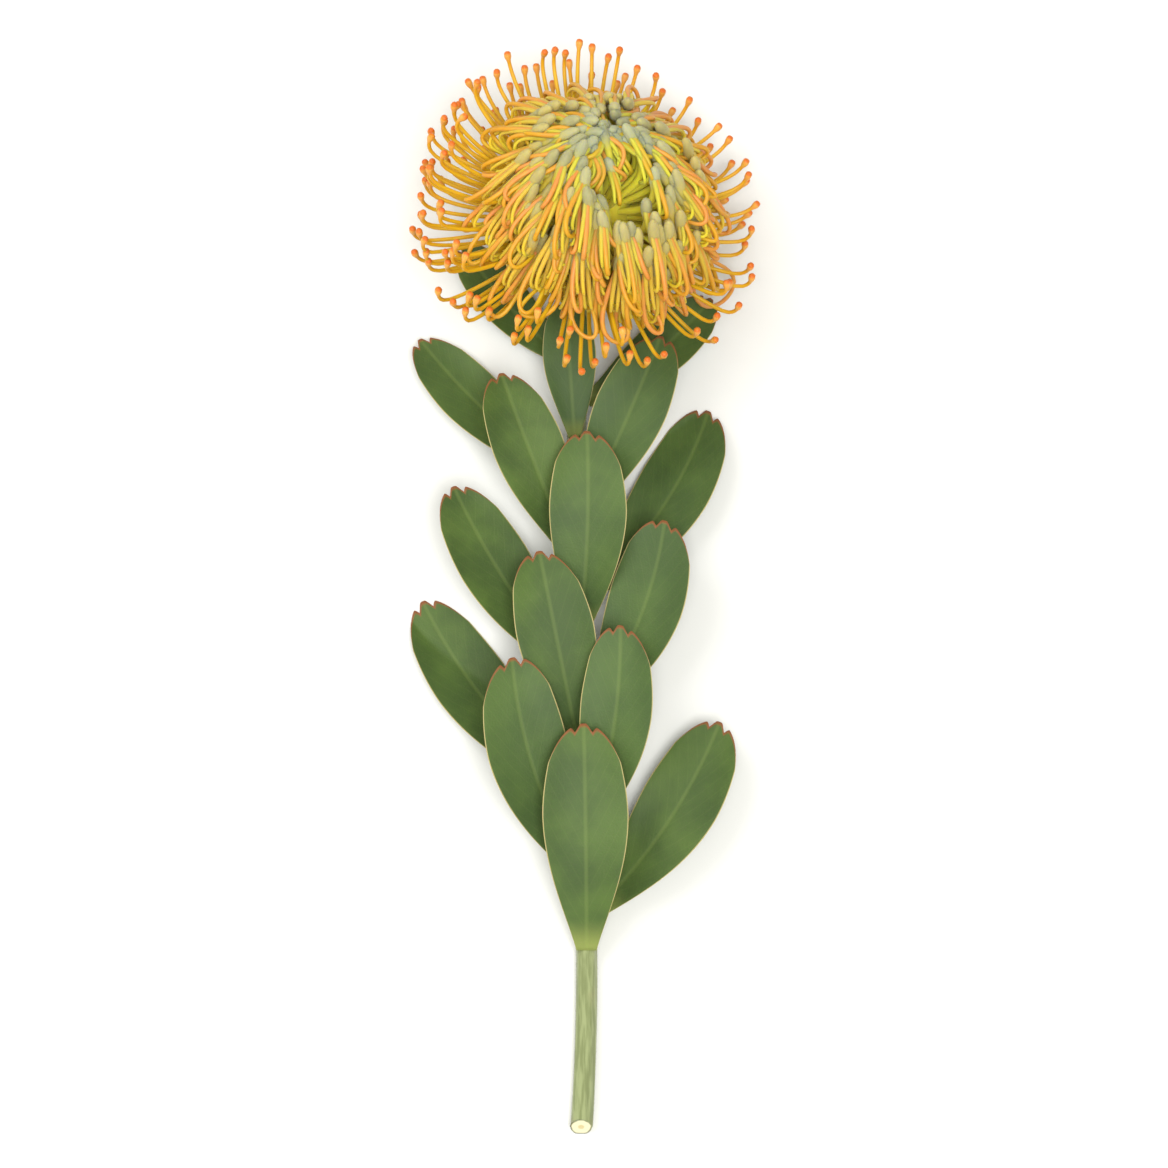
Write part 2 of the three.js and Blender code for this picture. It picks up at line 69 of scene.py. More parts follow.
# %% [markdown]
# ## Small tools
# The rules below are written in millimetres, as the flower was measured. Random draws come from
# a hash of the piece's number, so that every run grows the same flower, and so that one more
# floret doesn't change all the others.

# %% Numbers, draws and objects
MM = 0.001
DEGREE = math.pi / 180
GOLDEN_ANGLE = math.pi * (3 - math.sqrt(5))


def smooth(x):
    t = np.clip(x, 0, 1)
    return t * t * (3 - 2 * t)


def mix(a, b, t):
    return a + (b - a) * t


def draw(k, salt):
    x = math.sin(k * 12.9898 + salt * 78.233) * 43758.5453
    return 2 * (x - math.floor(x)) - 1


def unit(v):
    v = np.array(v, float)
    return v / np.linalg.norm(v)


def new_object(name, data):
    made = bpy.data.objects.new(name, data)
    bpy.context.scene.collection.objects.link(made)
    return made


# %% [markdown]
# ## Node trees
# Materials and Geometry Nodes are both node trees. One helper adds a node, sets its options and
# fills its sockets: a value is typed in, and a socket of another node is linked, or that node's
# first one. Colours are given as sRGB hex, but shaders work in linear light, so one
# function converts them.
# Living tissue changes colour along its length and with age. So most colours here are built in
# layers, each tone laid over the last as far as some value of the surface lies in a range.

# %% Add a node, and convert a colour
SOFT_STEP = {"interpolation_type": "SMOOTHSTEP"}
COLOURS = {"data_type": "RGBA"}
TIMES = {"operation": "MULTIPLY"}


def linear(hex_colour):
    channels = [int(hex_colour[i : i + 2], 16) / 255 for i in (1, 3, 5)]
    curve = [c / 12.92 if c <= 0.04045 else ((c + 0.055) / 1.055) ** 2.4 for c in channels]
    return (*curve, 1.0)


def add(tree, kind, options=None, sockets=None):
    node = tree.nodes.new(kind)
    for name, value in (options or {}).items():
        setattr(node, name, value)
    for name, value in (sockets or {}).items():
        if isinstance(value, bpy.types.Node):
            value = value.outputs[0]
        if isinstance(value, bpy.types.NodeSocket):
            tree.links.new(value, node.inputs[name])
        elif isinstance(value, str) and value.startswith("#"):
            node.inputs[name].default_value = linear(value)
        else:
            node.inputs[name].default_value = value
    return node


# %% Lay tones over a colour, and make a material
def layered(tree, colour, layers):
    """Lays tones over a colour in turn, each the stronger the further its value is in its range."""
    for value, start, full, most, tone in layers:
        sockets = {"Value": value, "From Min": start, "From Max": full, "To Max": most}
        share = add(tree, "ShaderNodeMapRange", SOFT_STEP, sockets)
        mixed = add(tree, "ShaderNodeMix", COLOURS, {0: share, 6: colour, 7: tone})
        colour = mixed.outputs[2]
    return colour


def make_material(name, recipe, *facts):
    """Makes a material. Its recipe gets the place and some facts, and returns shader sockets."""
    material = bpy.data.materials.new(name)
    material.use_nodes = True
    tree = material.node_tree
    tree.nodes.clear()
    given = [add(tree, "ShaderNodeTexCoord").outputs["Object"]]
    for fact in facts:
        given.append(add(tree, "ShaderNodeAttribute", {"attribute_name": fact}).outputs["Fac"])
    shader = add(tree, "ShaderNodeBsdfPrincipled", sockets=recipe(tree, *given))
    add(tree, "ShaderNodeOutputMaterial", sockets={"Surface": shader})
    print("made", name)
    return material


# %% [markdown]
# ## The camera
# The bloom was photographed upright, and it lies down here with its face up. A camera that looks
# down on it sees the same face, with the stem and leaves below the head, as in the picture. The
# lens is long, because the flower was taken from some way off. The near end looks larger, so the
# camera aims a little nearer than the middle.

# %% Camera
CAMERA_ELEVATION = 80 * DEGREE
LENS_MM = 85
SENSOR_MM = 36
MARGIN = 1.05
AIM_LOW = Vector((0, -0.0045, 0))

middle = (cad_box[0] + cad_box[1]) / 2
half_length = (cad_box[1].y - cad_box[0].y) / 2
distance = half_length * MARGIN / math.tan(math.atan(SENSOR_MM / 2 / LENS_MM))
away = Vector((0, -math.cos(CAMERA_ELEVATION), math.sin(CAMERA_ELEVATION)))
camera_data = bpy.data.cameras.new("camera")
camera_data.lens = LENS_MM
camera_data.sensor_width = SENSOR_MM
camera = new_object("camera", camera_data)
camera.location = middle + AIM_LOW + away * distance
camera.rotation_mode = "QUATERNION"
camera.rotation_quaternion = (-away).to_track_quat("-Z", "Y")
bpy.context.scene.camera = camera
print("camera is", round(distance, 2), "m away")

# %% [markdown]
# ## Light and table
# Soft light comes from all round, as in a white studio. A lamp on the upper left gives the round
# buds a lit side and a shaded side, and a lamp over the camera reaches down between the florets.
# The world is a plain near-white. The picture keeps strong yellows and oranges only with the
# plain Standard view.

# %% Lamps, world and table top
def lamp(name, place, size, watts):
    data = bpy.data.lights.new(name, "AREA")
    data.size = size
    data.energy = watts
    made = new_object(name, data)
    made.location = place
    made.rotation_mode = "QUATERNION"
    made.rotation_quaternion = (middle - made.location).to_track_quat("-Z", "Y")


lamp("window", (-0.5, 0.3, 0.85), 0.6, 5)
lamp("fill", (0.12, -0.32, 1.1), 0.5, 11)

WORLD_STRENGTH = 0.72

world = bpy.data.worlds.new("studio")
world.use_nodes = True
background = world.node_tree.nodes["Background"].inputs
background["Color"].default_value = linear("#FFFDF8")
background["Strength"].default_value = WORLD_STRENGTH
bpy.context.scene.world = world
bpy.context.scene.view_settings.view_transform = "Standard"

TABLE_SIZE = 6.0
TABLE_DROP = 0.05 * MM

table_top = bpy.data.meshes.new("table_top")
h = TABLE_SIZE / 2
corners = [(x, y, -TABLE_DROP) for x, y in ((-h, -h), (h, -h), (h, h), (-h, h))]
table_top.from_pydata(corners, [], [(0, 1, 2, 3)])
new_object("table_top", table_top)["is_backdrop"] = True

# %% [markdown]
# ## Finish: matt white card
# Card is a rough, even white that bounces soft light back under the leaves.

# %% Matt white card
CARD = {"Base Color": "#DBDBD7", "Roughness": 0.9}

table_top.materials.append(make_material("matt white card", lambda tree, place: CARD))

# %% [markdown]
# ## The lines of the plant
# The stem is two Bezier curves: a run along the table and an elbow up into the head. The head
# has its own axes: one along its axis, one to the far side and one to the right. The stem's box
# in the solid model tells where the whole plant was moved to.

# %% Stem line
STEM_RUN = 263.0
STEM_R_CUT = 3.6
STEM_R_NECK = 3.1
STEM_SWAY = 6.0
STEM_SIDES = 10
STEM_PRESS = 0.15
ELBOW_REACH = 11.0
NECK_LENGTH = 3.4
CUT_SLANT = 34 * DEGREE
CUT_START = 0.3

HEAD_BASE = np.array([0, 285, 18.5])
HEAD_AXIS = unit([0.13, 0.45, 0.88])
HEAD_FAR = unit(np.array([0, 1, 0]) - HEAD_AXIS * HEAD_AXIS[1])
HEAD_RIGHT = np.cross(HEAD_FAR, HEAD_AXIS)

LYING_Z = STEM_R_CUT * math.cos(math.pi / STEM_SIDES) - STEM_PRESS
ELBOW_FOOT = np.array([0, STEM_RUN, 5.0])
RUN = np.array(
    [
        [0, 0, LYING_Z],
        [STEM_SWAY, STEM_RUN / 3, LYING_Z - 0.1],
        [-STEM_SWAY, STEM_RUN * 2 / 3, LYING_Z - 0.4],
        ELBOW_FOOT,
    ]
)
ELBOW = np.array(
    [
        ELBOW_FOOT,
        ELBOW_FOOT + ELBOW_REACH * unit(RUN[3] - RUN[2]),
        HEAD_BASE - HEAD_AXIS * (ELBOW_REACH + NECK_LENGTH),
        HEAD_BASE - HEAD_AXIS * NECK_LENGTH,
    ]
)


def bezier(handles, t):
    u = 1 - t
    a, b, c, d = handles
    return u**3 * a + 3 * u * u * t * b + 3 * u * t * t * c + t**3 * d


def stem_radius(t):
    return mix(STEM_R_CUT, STEM_R_NECK, t)


# %% Where the plant was moved to
RUN_STEPS = 18

stem_low, stem_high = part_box("stem")
widest = -1e9
for step_number in range(RUN_STEPS):
    share = step_number / RUN_STEPS
    ahead = bezier(RUN, min(share + 1 / RUN_STEPS, 1)) - bezier(RUN, max(share - 1 / RUN_STEPS, 0))
    square = math.sqrt(1 - unit(ahead)[0] ** 2)
    widest = max(widest, bezier(RUN, share)[0] + stem_radius(share) * square)
SHIFT = np.array([stem_high.x / MM - widest, stem_low.y / MM - CUT_START, stem_low.z / MM])
print("plant was moved by, mm:", SHIFT.round(2))


def to_scene(points):
    return (np.asarray(points) + SHIFT) * MM


# %% [markdown]
# ## How the florets are arranged
# Every floret sits on one golden-angle spiral that starts at the apex. Its distance from the
# apex, the polar angle, decides its age: the lowest florets are the oldest and have let their
# styles go. Each floret is drawn flat, in the plane through the head's axis, as a line that
# turns while it runs. The plane is then swung round the axis to the floret's azimuth.

# %% One floret's place and age
FLORETS = 300
APEX_GAP = 7
LAST_POLAR = 113 * DEGREE
OPEN_POLAR = 79 * DEGREE
OPEN_SWING = 19 * DEGREE
SLOW_SIDE = 140 * DEGREE
SLOW_AGE = 0.09
HEAD_MIDDLE_W = 18.0
ROOT_RHO = 12.0
STRAY_POLAR = 1.6 * DEGREE
STRAY_AZIMUTH = 3.5 * DEGREE
STRAY_OPENING = 5


def floret_facts(k):
    place = k + APEX_GAP
    share = (place + 0.5) / (FLORETS + APEX_GAP)
    polar = math.acos(1 - share * (1 - math.cos(LAST_POLAR))) + STRAY_POLAR * draw(k, 17)
    azimuth = place * GOLDEN_ANGLE + STRAY_AZIMUTH * draw(k, 18)
    slow = math.cos(azimuth - SLOW_SIDE)
    opens = OPEN_POLAR + OPEN_SWING * slow
    return {
        "k": k,
        "polar": polar,
        "azimuth": azimuth,
        "age": polar / LAST_POLAR - SLOW_AGE * slow,
        "open": polar + draw(k, 1) * STRAY_OPENING * DEGREE > opens,
    }


florets = [floret_facts(k) for k in range(FLORETS)]
print(sum(f["open"] for f in florets), "of", FLORETS, "florets are open")

# %% Lines in the plane of a floret
def polar_point(rho, angle):
    return np.array([rho * math.sin(angle), HEAD_MIDDLE_W + rho * math.cos(angle)])


def step(place, distance, angle):
    return place + distance * np.array([math.sin(angle), math.cos(angle)])


FINE_STEPS = 240


def follow(start, length, heading, shares):
    """Walks a line that turns as it runs, and gives its points at some shares of its length."""
    track = [start]
    for i in range(FINE_STEPS):
        track.append(step(track[-1], length / FINE_STEPS, heading((i + 0.5) / FINE_STEPS)))
    return [track[round(t * FINE_STEPS)] for t in shares]


SETTLE_MM = 1.2
CLEAR_OF_TABLE = 0.05


def settle(z, radii):
    """Bends what would sink into the table up to lie on it."""
    rest = np.array(radii) + CLEAR_OF_TABLE
    above = (z - rest) / SETTLE_MM
    return rest + SETTLE_MM * np.where(above > 1, above, smooth((above + 1) / 2))


def on_head(floret, flat_points, asides):
    r, w = np.array(flat_points).T
    asides = np.array(asides)
    azimuth = floret["azimuth"]
    far = r * math.cos(azimuth) - asides * math.sin(azimuth)
    right = r * math.sin(azimuth) + asides * math.cos(azimuth)
    return HEAD_BASE + w[:, None] * HEAD_AXIS + far[:, None] * HEAD_FAR + right[:, None] * HEAD_RIGHT


# %% [markdown]
# ## Drawing strands
# A strand is a line with a radius at each of its points, and with the facts that its colour
# needs: how far along it a point is, how old its floret is, and one draw of its own. All
# strands of a kind go into one mesh of bare edges. A Geometry Nodes tree then turns the edges
# into curves and sweeps a circle along them, as thick as each point says. That keeps the shapes
# as rules, and one tree makes every tube, style and lobe on the head.

# %% Strands, and a mesh of bare lines
def strand(floret, points, shares, radii):
    points[:, 2] = settle(points[:, 2], radii)
    return {
        "points": points,
        "radii": radii,
        "shares": shares,
        "age": floret["age"],
        "tint": 0.5 + 0.5 * draw(floret["k"], 13),
    }


def line_mesh(name, strands):
    points, edges = [], []
    facts = {"radius": [], "along": [], "age": [], "tint": []}
    for line in strands:
        start = len(points)
        count = len(line["points"])
        points.extend(map(tuple, to_scene(line["points"])))
        edges.extend((start + i, start + i + 1) for i in range(count - 1))
        facts["radius"].extend(np.array(line["radii"]) * MM)
        facts["along"].extend(line["shares"])
        facts["age"].extend([line["age"]] * count)
        facts["tint"].extend([line["tint"]] * count)
    mesh = bpy.data.meshes.new(name + "_lines")
    mesh.from_pydata(points, edges, [])
    for fact, values in facts.items():
        mesh.attributes.new(fact, "FLOAT", "POINT").data.foreach_set("value", values)
    return mesh


# %% The tree that sweeps a circle along lines
def new_tree(name, inputs):
    tree = bpy.data.node_groups.new(name, "GeometryNodeTree")
    tree.interface.new_socket("Geometry", in_out="INPUT", socket_type="NodeSocketGeometry")
    tree.interface.new_socket("Geometry", in_out="OUTPUT", socket_type="NodeSocketGeometry")
    ids = {}
    for label, kind in inputs.items():
        ids[label] = tree.interface.new_socket(label, in_out="INPUT", socket_type=kind).identifier
    return tree, ids


def end_tree(tree, shape, material):
    real = add(tree, "GeometryNodeRealizeInstances", sockets={"Geometry": shape})
    finish = add(tree, "GeometryNodeSetMaterial", sockets={"Geometry": real, "Material": material})
    add(tree, "NodeGroupOutput", sockets={"Geometry": finish})


def round_strands_tree(material):
    tree, ids = new_tree("round strands", {"Sides": "NodeSocketInt"})
    given = add(tree, "NodeGroupInput").outputs
    named = "GeometryNodeInputNamedAttribute"
    radius = add(tree, named, {"data_type": "FLOAT"}, {"Name": "radius"})
    lines = add(tree, "GeometryNodeMeshToCurve", sockets={"Mesh": given["Geometry"]})
    sockets = {"Resolution": given["Sides"], "Radius": 1.0}
    ring = add(tree, "GeometryNodeCurvePrimitiveCircle", sockets=sockets)
    sockets = {"Curve": lines, "Profile Curve": ring, "Scale": radius, "Fill Caps": True}
    tubes = add(tree, "GeometryNodeCurveToMesh", sockets=sockets)
    soft = add(tree, "GeometryNodeSetShadeSmooth", sockets={"Geometry": tubes})
    end_tree(tree, soft, material)
    return tree, ids


# %% [markdown]
# ## Growing hairs
# Felt and down are fine cones that stand on a surface. The tree scatters points over the faces
# of a piece that is already made, more of them where one of its attributes says so, and puts a
# leaning cone on each. The hairs keep the attributes of the face they stand on, so the same
# material colours them like the skin below.

# %% The tree that grows hairs
def hairs_tree(fact, start, full, material):
    inputs = dict.fromkeys(("Density", "Length", "Thickness", "Lean"), "NodeSocketFloat")
    tree, ids = new_tree("hairs", {**inputs, "Seed": "NodeSocketInt"})
    given = add(tree, "NodeGroupInput").outputs
    named = "GeometryNodeInputNamedAttribute"
    attribute = add(tree, named, {"data_type": "FLOAT"}, {"Name": fact})
    share = add(tree, "ShaderNodeMapRange", sockets={0: attribute, 1: start, 2: full})
    density = add(tree, "ShaderNodeMath", TIMES, {0: share, 1: given["Density"]})
    sockets = {"Mesh": given["Geometry"], "Density": density, "Seed": given["Seed"]}
    roots = add(tree, "GeometryNodeDistributePointsOnFaces", sockets=sockets)
    sockets = {"Radius Bottom": given["Thickness"], "Depth": given["Length"]}
    sockets.update({"Vertices": 3, "Radius Top": 0.0})
    hair = add(tree, "GeometryNodeMeshCone", {"fill_type": "NGON"}, sockets)
    sockets = {2: 0.5, 3: 1.1, "Seed": given["Seed"]}
    size = add(tree, "FunctionNodeRandomValue", {"data_type": "FLOAT"}, sockets)
    backward = add(tree, "ShaderNodeMath", TIMES, {0: given["Lean"], 1: -1.0})
    sockets = {0: backward, 1: given["Lean"], "Seed": given["Seed"]}
    leaning = add(tree, "FunctionNodeRandomValue", {"data_type": "FLOAT_VECTOR"}, sockets)
    sockets = {"Rotation": roots.outputs["Rotation"], "Scale": size.outputs[1]}
    sockets.update({"Points": roots, "Instance": hair})
    standing = add(tree, "GeometryNodeInstanceOnPoints", sockets=sockets)
    sockets = {"Instances": standing, "Rotation": leaning}
    swept = add(tree, "GeometryNodeRotateInstances", sockets=sockets)
    end_tree(tree, swept, material)
    return tree, ids


# %% Turn a tree's result into a plain piece
HAIR_LEAN = 0.7


def plain_piece(name, mesh, tree, values):
    carrier = new_object(name + "_carrier", mesh)
    modifier = carrier.modifiers.new("grow", "NODES")
    modifier.node_group = tree
    for identifier, value in values.items():
        modifier[identifier] = value
    grown = carrier.evaluated_get(bpy.context.evaluated_depsgraph_get())
    result = bpy.data.meshes.new_from_object(grown)
    result.name = name
    carrier.modifiers.remove(modifier)
    bpy.data.objects.remove(carrier)
    return new_object(name, result)


def dress(piece, slot, *nodes):
    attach(piece, "root")
    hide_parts(*nodes)
    triangles = sum(len(p.vertices) - 2 for p in piece.data.polygons)
    print(piece.name, "has", triangles, "triangles")
    return piece


def grow_strands(name, strands, sides, material):
    tree, ids = round_strands_tree(material)
    piece = plain_piece(name, line_mesh(name, strands), tree, {ids["Sides"]: sides})
    return dress(piece, "florets", "flower_head")


def hairs(name, skin, fact, start, full, per_mm2, length, thickness, seed):
    tree, ids = hairs_tree(fact, start, full, skin.data.materials[0])
    values = {
        ids["Density"]: per_mm2 / MM**2,
        ids["Length"]: length * MM,
        ids["Thickness"]: thickness * MM,
        ids["Lean"]: HAIR_LEAN,
        ids["Seed"]: seed,
    }
    return plain_piece(name, skin.data.copy(), tree, values)


# %% [markdown]
# ## Finish: perianth tissue with a felted limb
# A closed floret is a soft, satin tube of petal tissue, yellow-green when young and golden when
# old. Its club-shaped end, the limb, is covered with dense silvery felt, which looks grey-green
# and hides the gloss. Light passes a little way into such tissue, so the shader lets some
# scatter under the surface. The colour reads how far along the tube a point is, and its age.
# Low on the tube, where the tubes stand in the shade of the hoops, a brighter yellow is painted
# in: painted light that lifts that shade.

# %% Perianth tissue with a felted limb
RIPENS = (0.2, 0.6)


def perianth_tissue(tree, place, along, age, tint):
    # Blotches about 2 mm across, and felt about 0.4 mm across, drawn coarser than it is.
    blotch = add(tree, "ShaderNodeTexNoise", sockets={"Vector": place, "Scale": 500.0})
    felt = add(tree, "ShaderNodeTexNoise", sockets={"Vector": place, "Scale": 2600.0, "Detail": 4.0})
    tones = (("#D8D038", "#DAB826"), ("#B8AE36", "#C29E36"), ("#A0A380", "#B4A562"))
    tube, creamy, limb = [
        layered(tree, young, [(age, *RIPENS, 1.0, ripe)]) for young, ripe in tones
    ]
    sockets = {"Value": age, "From Min": 0.25, "From Max": 0.55, "To Min": 1.0, "To Max": 0.5}
    fading = add(tree, "ShaderNodeMapRange", SOFT_STEP, sockets)
    dusk = add(tree, "ShaderNodeMath", TIMES, {0: tint, 1: blotch})
    dusk = add(tree, "ShaderNodeMath", TIMES, {0: dusk, 1: fading})
    smudged = add(tree, "ShaderNodeMix", COLOURS, {0: dusk, 6: limb, 7: "#6F6F50"})
    layers = [
        # Painted light: low on the tube a bright yellow lifts the shade among the tubes and hoops.
        (along, 0.55, 0.15, 0.7, "#E6D648"),
        (along, 0.45, 0.7, 0.85, creamy),
        (along, 0.72, 0.92, 1.0, smudged.outputs[2]),
    ]
    bump = add(tree, "ShaderNodeBump", sockets={"Strength": 0.35, "Distance": 0.0002, "Height": felt})
    return {
        "Base Color": layered(tree, tube, layers),
        "Roughness": 0.6,
        "Subsurface Weight": 0.6,
        "Subsurface Radius": (1.0, 0.7, 0.12),
        "Subsurface Scale": 0.004,
        "Sheen Weight": 0.08,
        "Sheen Roughness": 0.5,
        "Specular IOR Level": 0.25,
        "Normal": bump,
    }


FLORET_FACTS = ("along", "age", "tint")
PERIANTH = make_material("perianth tissue with a felted limb", perianth_tissue, *FLORET_FACTS)

# %% [markdown]
# ## Closed florets
# The tube rises from the receptacle, leans out a little, and bends right over so that its limb
# lies along the dome and points to the apex. Limbs are clubs about 4 mm thick with a round end,
# so the radius swells there and then closes as a quarter ellipse. On one side of the apex the
# florets lean apart, which leaves a hollow where their tubes show side on.

# %% How florets lean away from the hollow
HOLLOW_POLAR = 42 * DEGREE
HOLLOW_AZIMUTH = 150 * DEGREE
HOLLOW_WIDTH = 22 * DEGREE
HOLLOW_LEAN = 32 * DEGREE
HOLLOW_CALM = 14 * DEGREE
HOLLOW_SHORTENS = 0.3
HOLLOW_UNBEND = 10 * DEGREE


def parting(polar, azimuth):
    """How near a floret is to the hollow, and how far it leans from it: outward, and aside."""
    down = polar - HOLLOW_POLAR
    aside = math.remainder(azimuth - HOLLOW_AZIMUTH, 2 * math.pi) * math.sin(polar)
    distance_off = math.hypot(down, aside)
    near = math.exp(-((distance_off / HOLLOW_WIDTH) ** 2))
    lean = HOLLOW_LEAN * near / max(distance_off, HOLLOW_CALM)
    return near, lean * down, lean * aside


# %% The line of a closed floret
BUD_LENGTH = 37.5
BUD_LENGTH_APEX = 31.0
BUD_LENGTH_VARIES = 0.05
FULL_LENGTH_POLAR = 60 * DEGREE
BUD_SPLAY = 8 * DEGREE
BUD_BEND = 104 * DEGREE
BUD_BEND_APEX = 66 * DEGREE
BEND_GROWS = 0.7
BEND_VARIES = 13 * DEGREE
BEND_START = 0.3
BEND_RUN = 0.55
STRAY = 1.6


def bud_heading(floret):
    polar = floret["polar"]
    near, outward, aside = parting(polar, floret["azimuth"])
    bend = min(BUD_BEND, BUD_BEND_APEX + polar * BEND_GROWS)
    bend = bend + BEND_VARIES * draw(floret["k"], 11) - HOLLOW_UNBEND * near
    return lambda t: polar + BUD_SPLAY + outward - bend * smooth((t - BEND_START) / BEND_RUN)


def bud_length(floret):
    grown = smooth(floret["polar"] / FULL_LENGTH_POLAR)
    held_back = HOLLOW_SHORTENS * parting(floret["polar"], floret["azimuth"])[0] ** 3
    length = mix(BUD_LENGTH_APEX, BUD_LENGTH, grown) * (1 - held_back)
    return length * (1 + BUD_LENGTH_VARIES * draw(floret["k"], 12))


def bud_aside(floret, t):
    lean = parting(floret["polar"], floret["azimuth"])[2]
    return STRAY * draw(floret["k"], 2) * t**2 + bud_length(floret) * math.sin(lean) * t


# %% Closed florets, and the felt on their limbs
BUD_R_FOOT = 0.8
BUD_R = 1.2
LIMB_R = 1.85
LIMB_START = 0.74
LIMB_ROUND = 0.9
BUD_SHARES = [0, 0.12, 0.25, 0.34, 0.42, 0.5, 0.57, 0.64, 0.7, 0.74, 0.78, 0.83, 0.88, 0.92]
BUD_SHARES += [0.95, 0.973, 0.99, 1]


def bud_radius(t):
    tube = mix(BUD_R_FOOT, BUD_R, smooth(t / 0.3))
    club = tube + (LIMB_R - BUD_R) * smooth((t - LIMB_START) / 0.1)
    closing = np.clip((t - LIMB_ROUND) / (1 - LIMB_ROUND), 0, 0.98)
    return club * math.sqrt(1 - closing**2)


def bud(floret):
    root = polar_point(ROOT_RHO, floret["polar"])
    track = follow(root, bud_length(floret), bud_heading(floret), BUD_SHARES)
    asides = [bud_aside(floret, t) for t in BUD_SHARES]
    radii = [bud_radius(t) for t in BUD_SHARES]
    return strand(floret, on_head(floret, track, asides), BUD_SHARES, radii)


bud_strands = [bud(f) for f in florets if not f["open"]]
buds = grow_strands("closed_florets", bud_strands, 10, PERIANTH)
felt = hairs("limb_felt", buds, "along", 0.7, 0.8, 2.4, 0.55, 0.04, 1)
dress(felt, "florets", "flower_head")

# %% [markdown]
# ## Finish: style flesh
# A style is a smooth, slightly waxy rod. Where it is still held it flushes salmon and orange;
# once it is free it is golden yellow, and its end, the pollen presenter, is orange with a
# darker tip. The same shader serves both, with other colours along the rod.

# %% Style flesh
def style_flesh(name, start, layers):
    def recipe(tree, place, along, age, tint):
        mottle = add(tree, "ShaderNodeTexNoise", sockets={"Vector": place, "Scale": 300.0})
        values = {"along": along, "age": age, "tint": tint, "mottle": mottle}
        laid = [(values[value], *rest) for value, *rest in layers]
        return {
            "Base Color": layered(tree, start, laid),
            "Roughness": 0.42,
            "Subsurface Weight": 0.4,
            "Subsurface Radius": (1.0, 0.5, 0.1),
            "Subsurface Scale": 0.0015,
            "Specular IOR Level": 0.3,
        }

    return make_material(name, recipe, *FLORET_FACTS)


LOOPED_LAYERS = [
    ("along", 0.15, 0.5, 1.0, "#C6901C"),
    ("along", 0.6, 0.9, 1.0, "#C48A32"),
    ("age", 0.34, 0.12, 0.7, "#B8A82A"),
    ("tint", 0.35, 0.95, 0.65, "#CC7E46"),
    ("mottle", 0.45, 0.7, 0.4, "#C8A01E"),
]
FREE_LAYERS = [
    ("along", 0.2, 0.6, 1.0, "#CCA018"),
    ("along", 0.75, 0.93, 1.0, "#CE961C"),
    ("along", 0.935, 0.96, 1.0, "#DA9C46"),
    ("along", 0.98, 0.995, 1.0, "#C8661C"),
    ("mottle", 0.5, 0.8, 0.3, "#D4AE26"),
]
LOOPED_FLESH = style_flesh("looped style flesh", "#C4A01C", LOOPED_LAYERS)
FREE_FLESH = style_flesh("free style flesh", "#BA981A", FREE_LAYERS)

# %% [markdown]
# ## Looped styles
# A style grows faster than the bud that holds its tip. It bursts out of the side of the tube
# and bows away from the apex, and its end stays gripped by the limb, so it makes a hoop. Each
# hoop is one Bezier curve from the tube back to the limb, thrown further out on older florets.
# Some of the oldest are loose: they are thrown far out and twist, so they show as open loops.
# The split tube follows as two narrow strips, the claws, one on each side and a little below.
# Claws and style make a finger about 4 mm wide. The claws take the shorter way, so at the end
# of the finger only the style is left, as a bare orange bend.

# %% The bow of a style
EXIT_SHARE = 0.45
LIMB_SHARE = 0.88
HOOP_OUT = (10.0, 23.0)
HOOP_BACK = (6.0, 21.0)
HOOP_GROWS_FROM = 10 * DEGREE
HOOP_GROWS_OVER = 55 * DEGREE
HOOP_VARIES = 0.3
VARIES_FULLY_AT = 50 * DEGREE
HOOP_SWING = 4.2
HOOP_RING = 1.4
LOOSE_RING = 7.0
HOLLOW_LAG = 16 * DEGREE
HOLLOW_CALMS = 0.35
# The degrees at which a hoop leaves and returns, and what growth, chance and looseness add.
LEAVES_AT, LEAVES_GROWN, LEAVES_LOOSE = 26, 10, 14
RETURNS_AT, RETURNS_VARY, RETURNS_LOOSE = 66, 16, 26


def bow(floret, throw, steps):
    """The curve from the tube out and back to the limb, and how far it strays aside."""
    k, polar = floret["k"], floret["polar"]
    root = polar_point(ROOT_RHO, polar)
    leave, hold = follow(root, bud_length(floret), bud_heading(floret), [EXIT_SHARE, LIMB_SHARE])
    grown = smooth((polar - HOOP_GROWS_FROM) / HOOP_GROWS_OVER)
    grown *= 1 + HOOP_VARIES * draw(k, 3) * smooth(polar / VARIES_FULLY_AT)
    loose = max(0, throw - 1)
    throw *= 1 - HOLLOW_CALMS * parting(polar + HOLLOW_LAG, floret["azimuth"])[0]
    leaves = LEAVES_AT + LEAVES_GROWN * grown - LEAVES_LOOSE * loose
    returns = RETURNS_AT + RETURNS_VARY * draw(k, 4) + RETURNS_LOOSE * loose
    out = step(leave, throw * mix(*HOOP_OUT, grown), polar + leaves * DEGREE)
    back = step(hold, throw * mix(*HOOP_BACK, grown), polar + returns * DEGREE)
    shares = [i / steps for i in range(steps + 1)]
    track = [bezier((leave, out, back, hold), t) for t in shares]
    swing = HOOP_SWING * draw(k, 5)
    ring = HOOP_RING * draw(k, 16) + LOOSE_RING * loose * math.copysign(1, draw(k, 16))
    asides = [
        bud_aside(floret, mix(EXIT_SHARE, LIMB_SHARE, t))
        + swing * math.sin(math.pi * t)
        + ring * math.sin(2 * math.pi * t)
        for t in shares
    ]
    return track, asides, shares


# %% Looped styles, and the claws that follow them
STYLE_R = 0.68
HOOP_SWELL = 0.3
HOOP_STEPS = 22
HOOP_FROM_POLAR = 14 * DEGREE
LOOSE_THROW = 1.1
LOOSE_AGE = (0.55, 0.8)
CLAW_R = 0.85
CLAW_R_END = 0.55
CLAW_APART = 1.0
CLAW_THROW = 0.8
CLAW_STEPS = 16


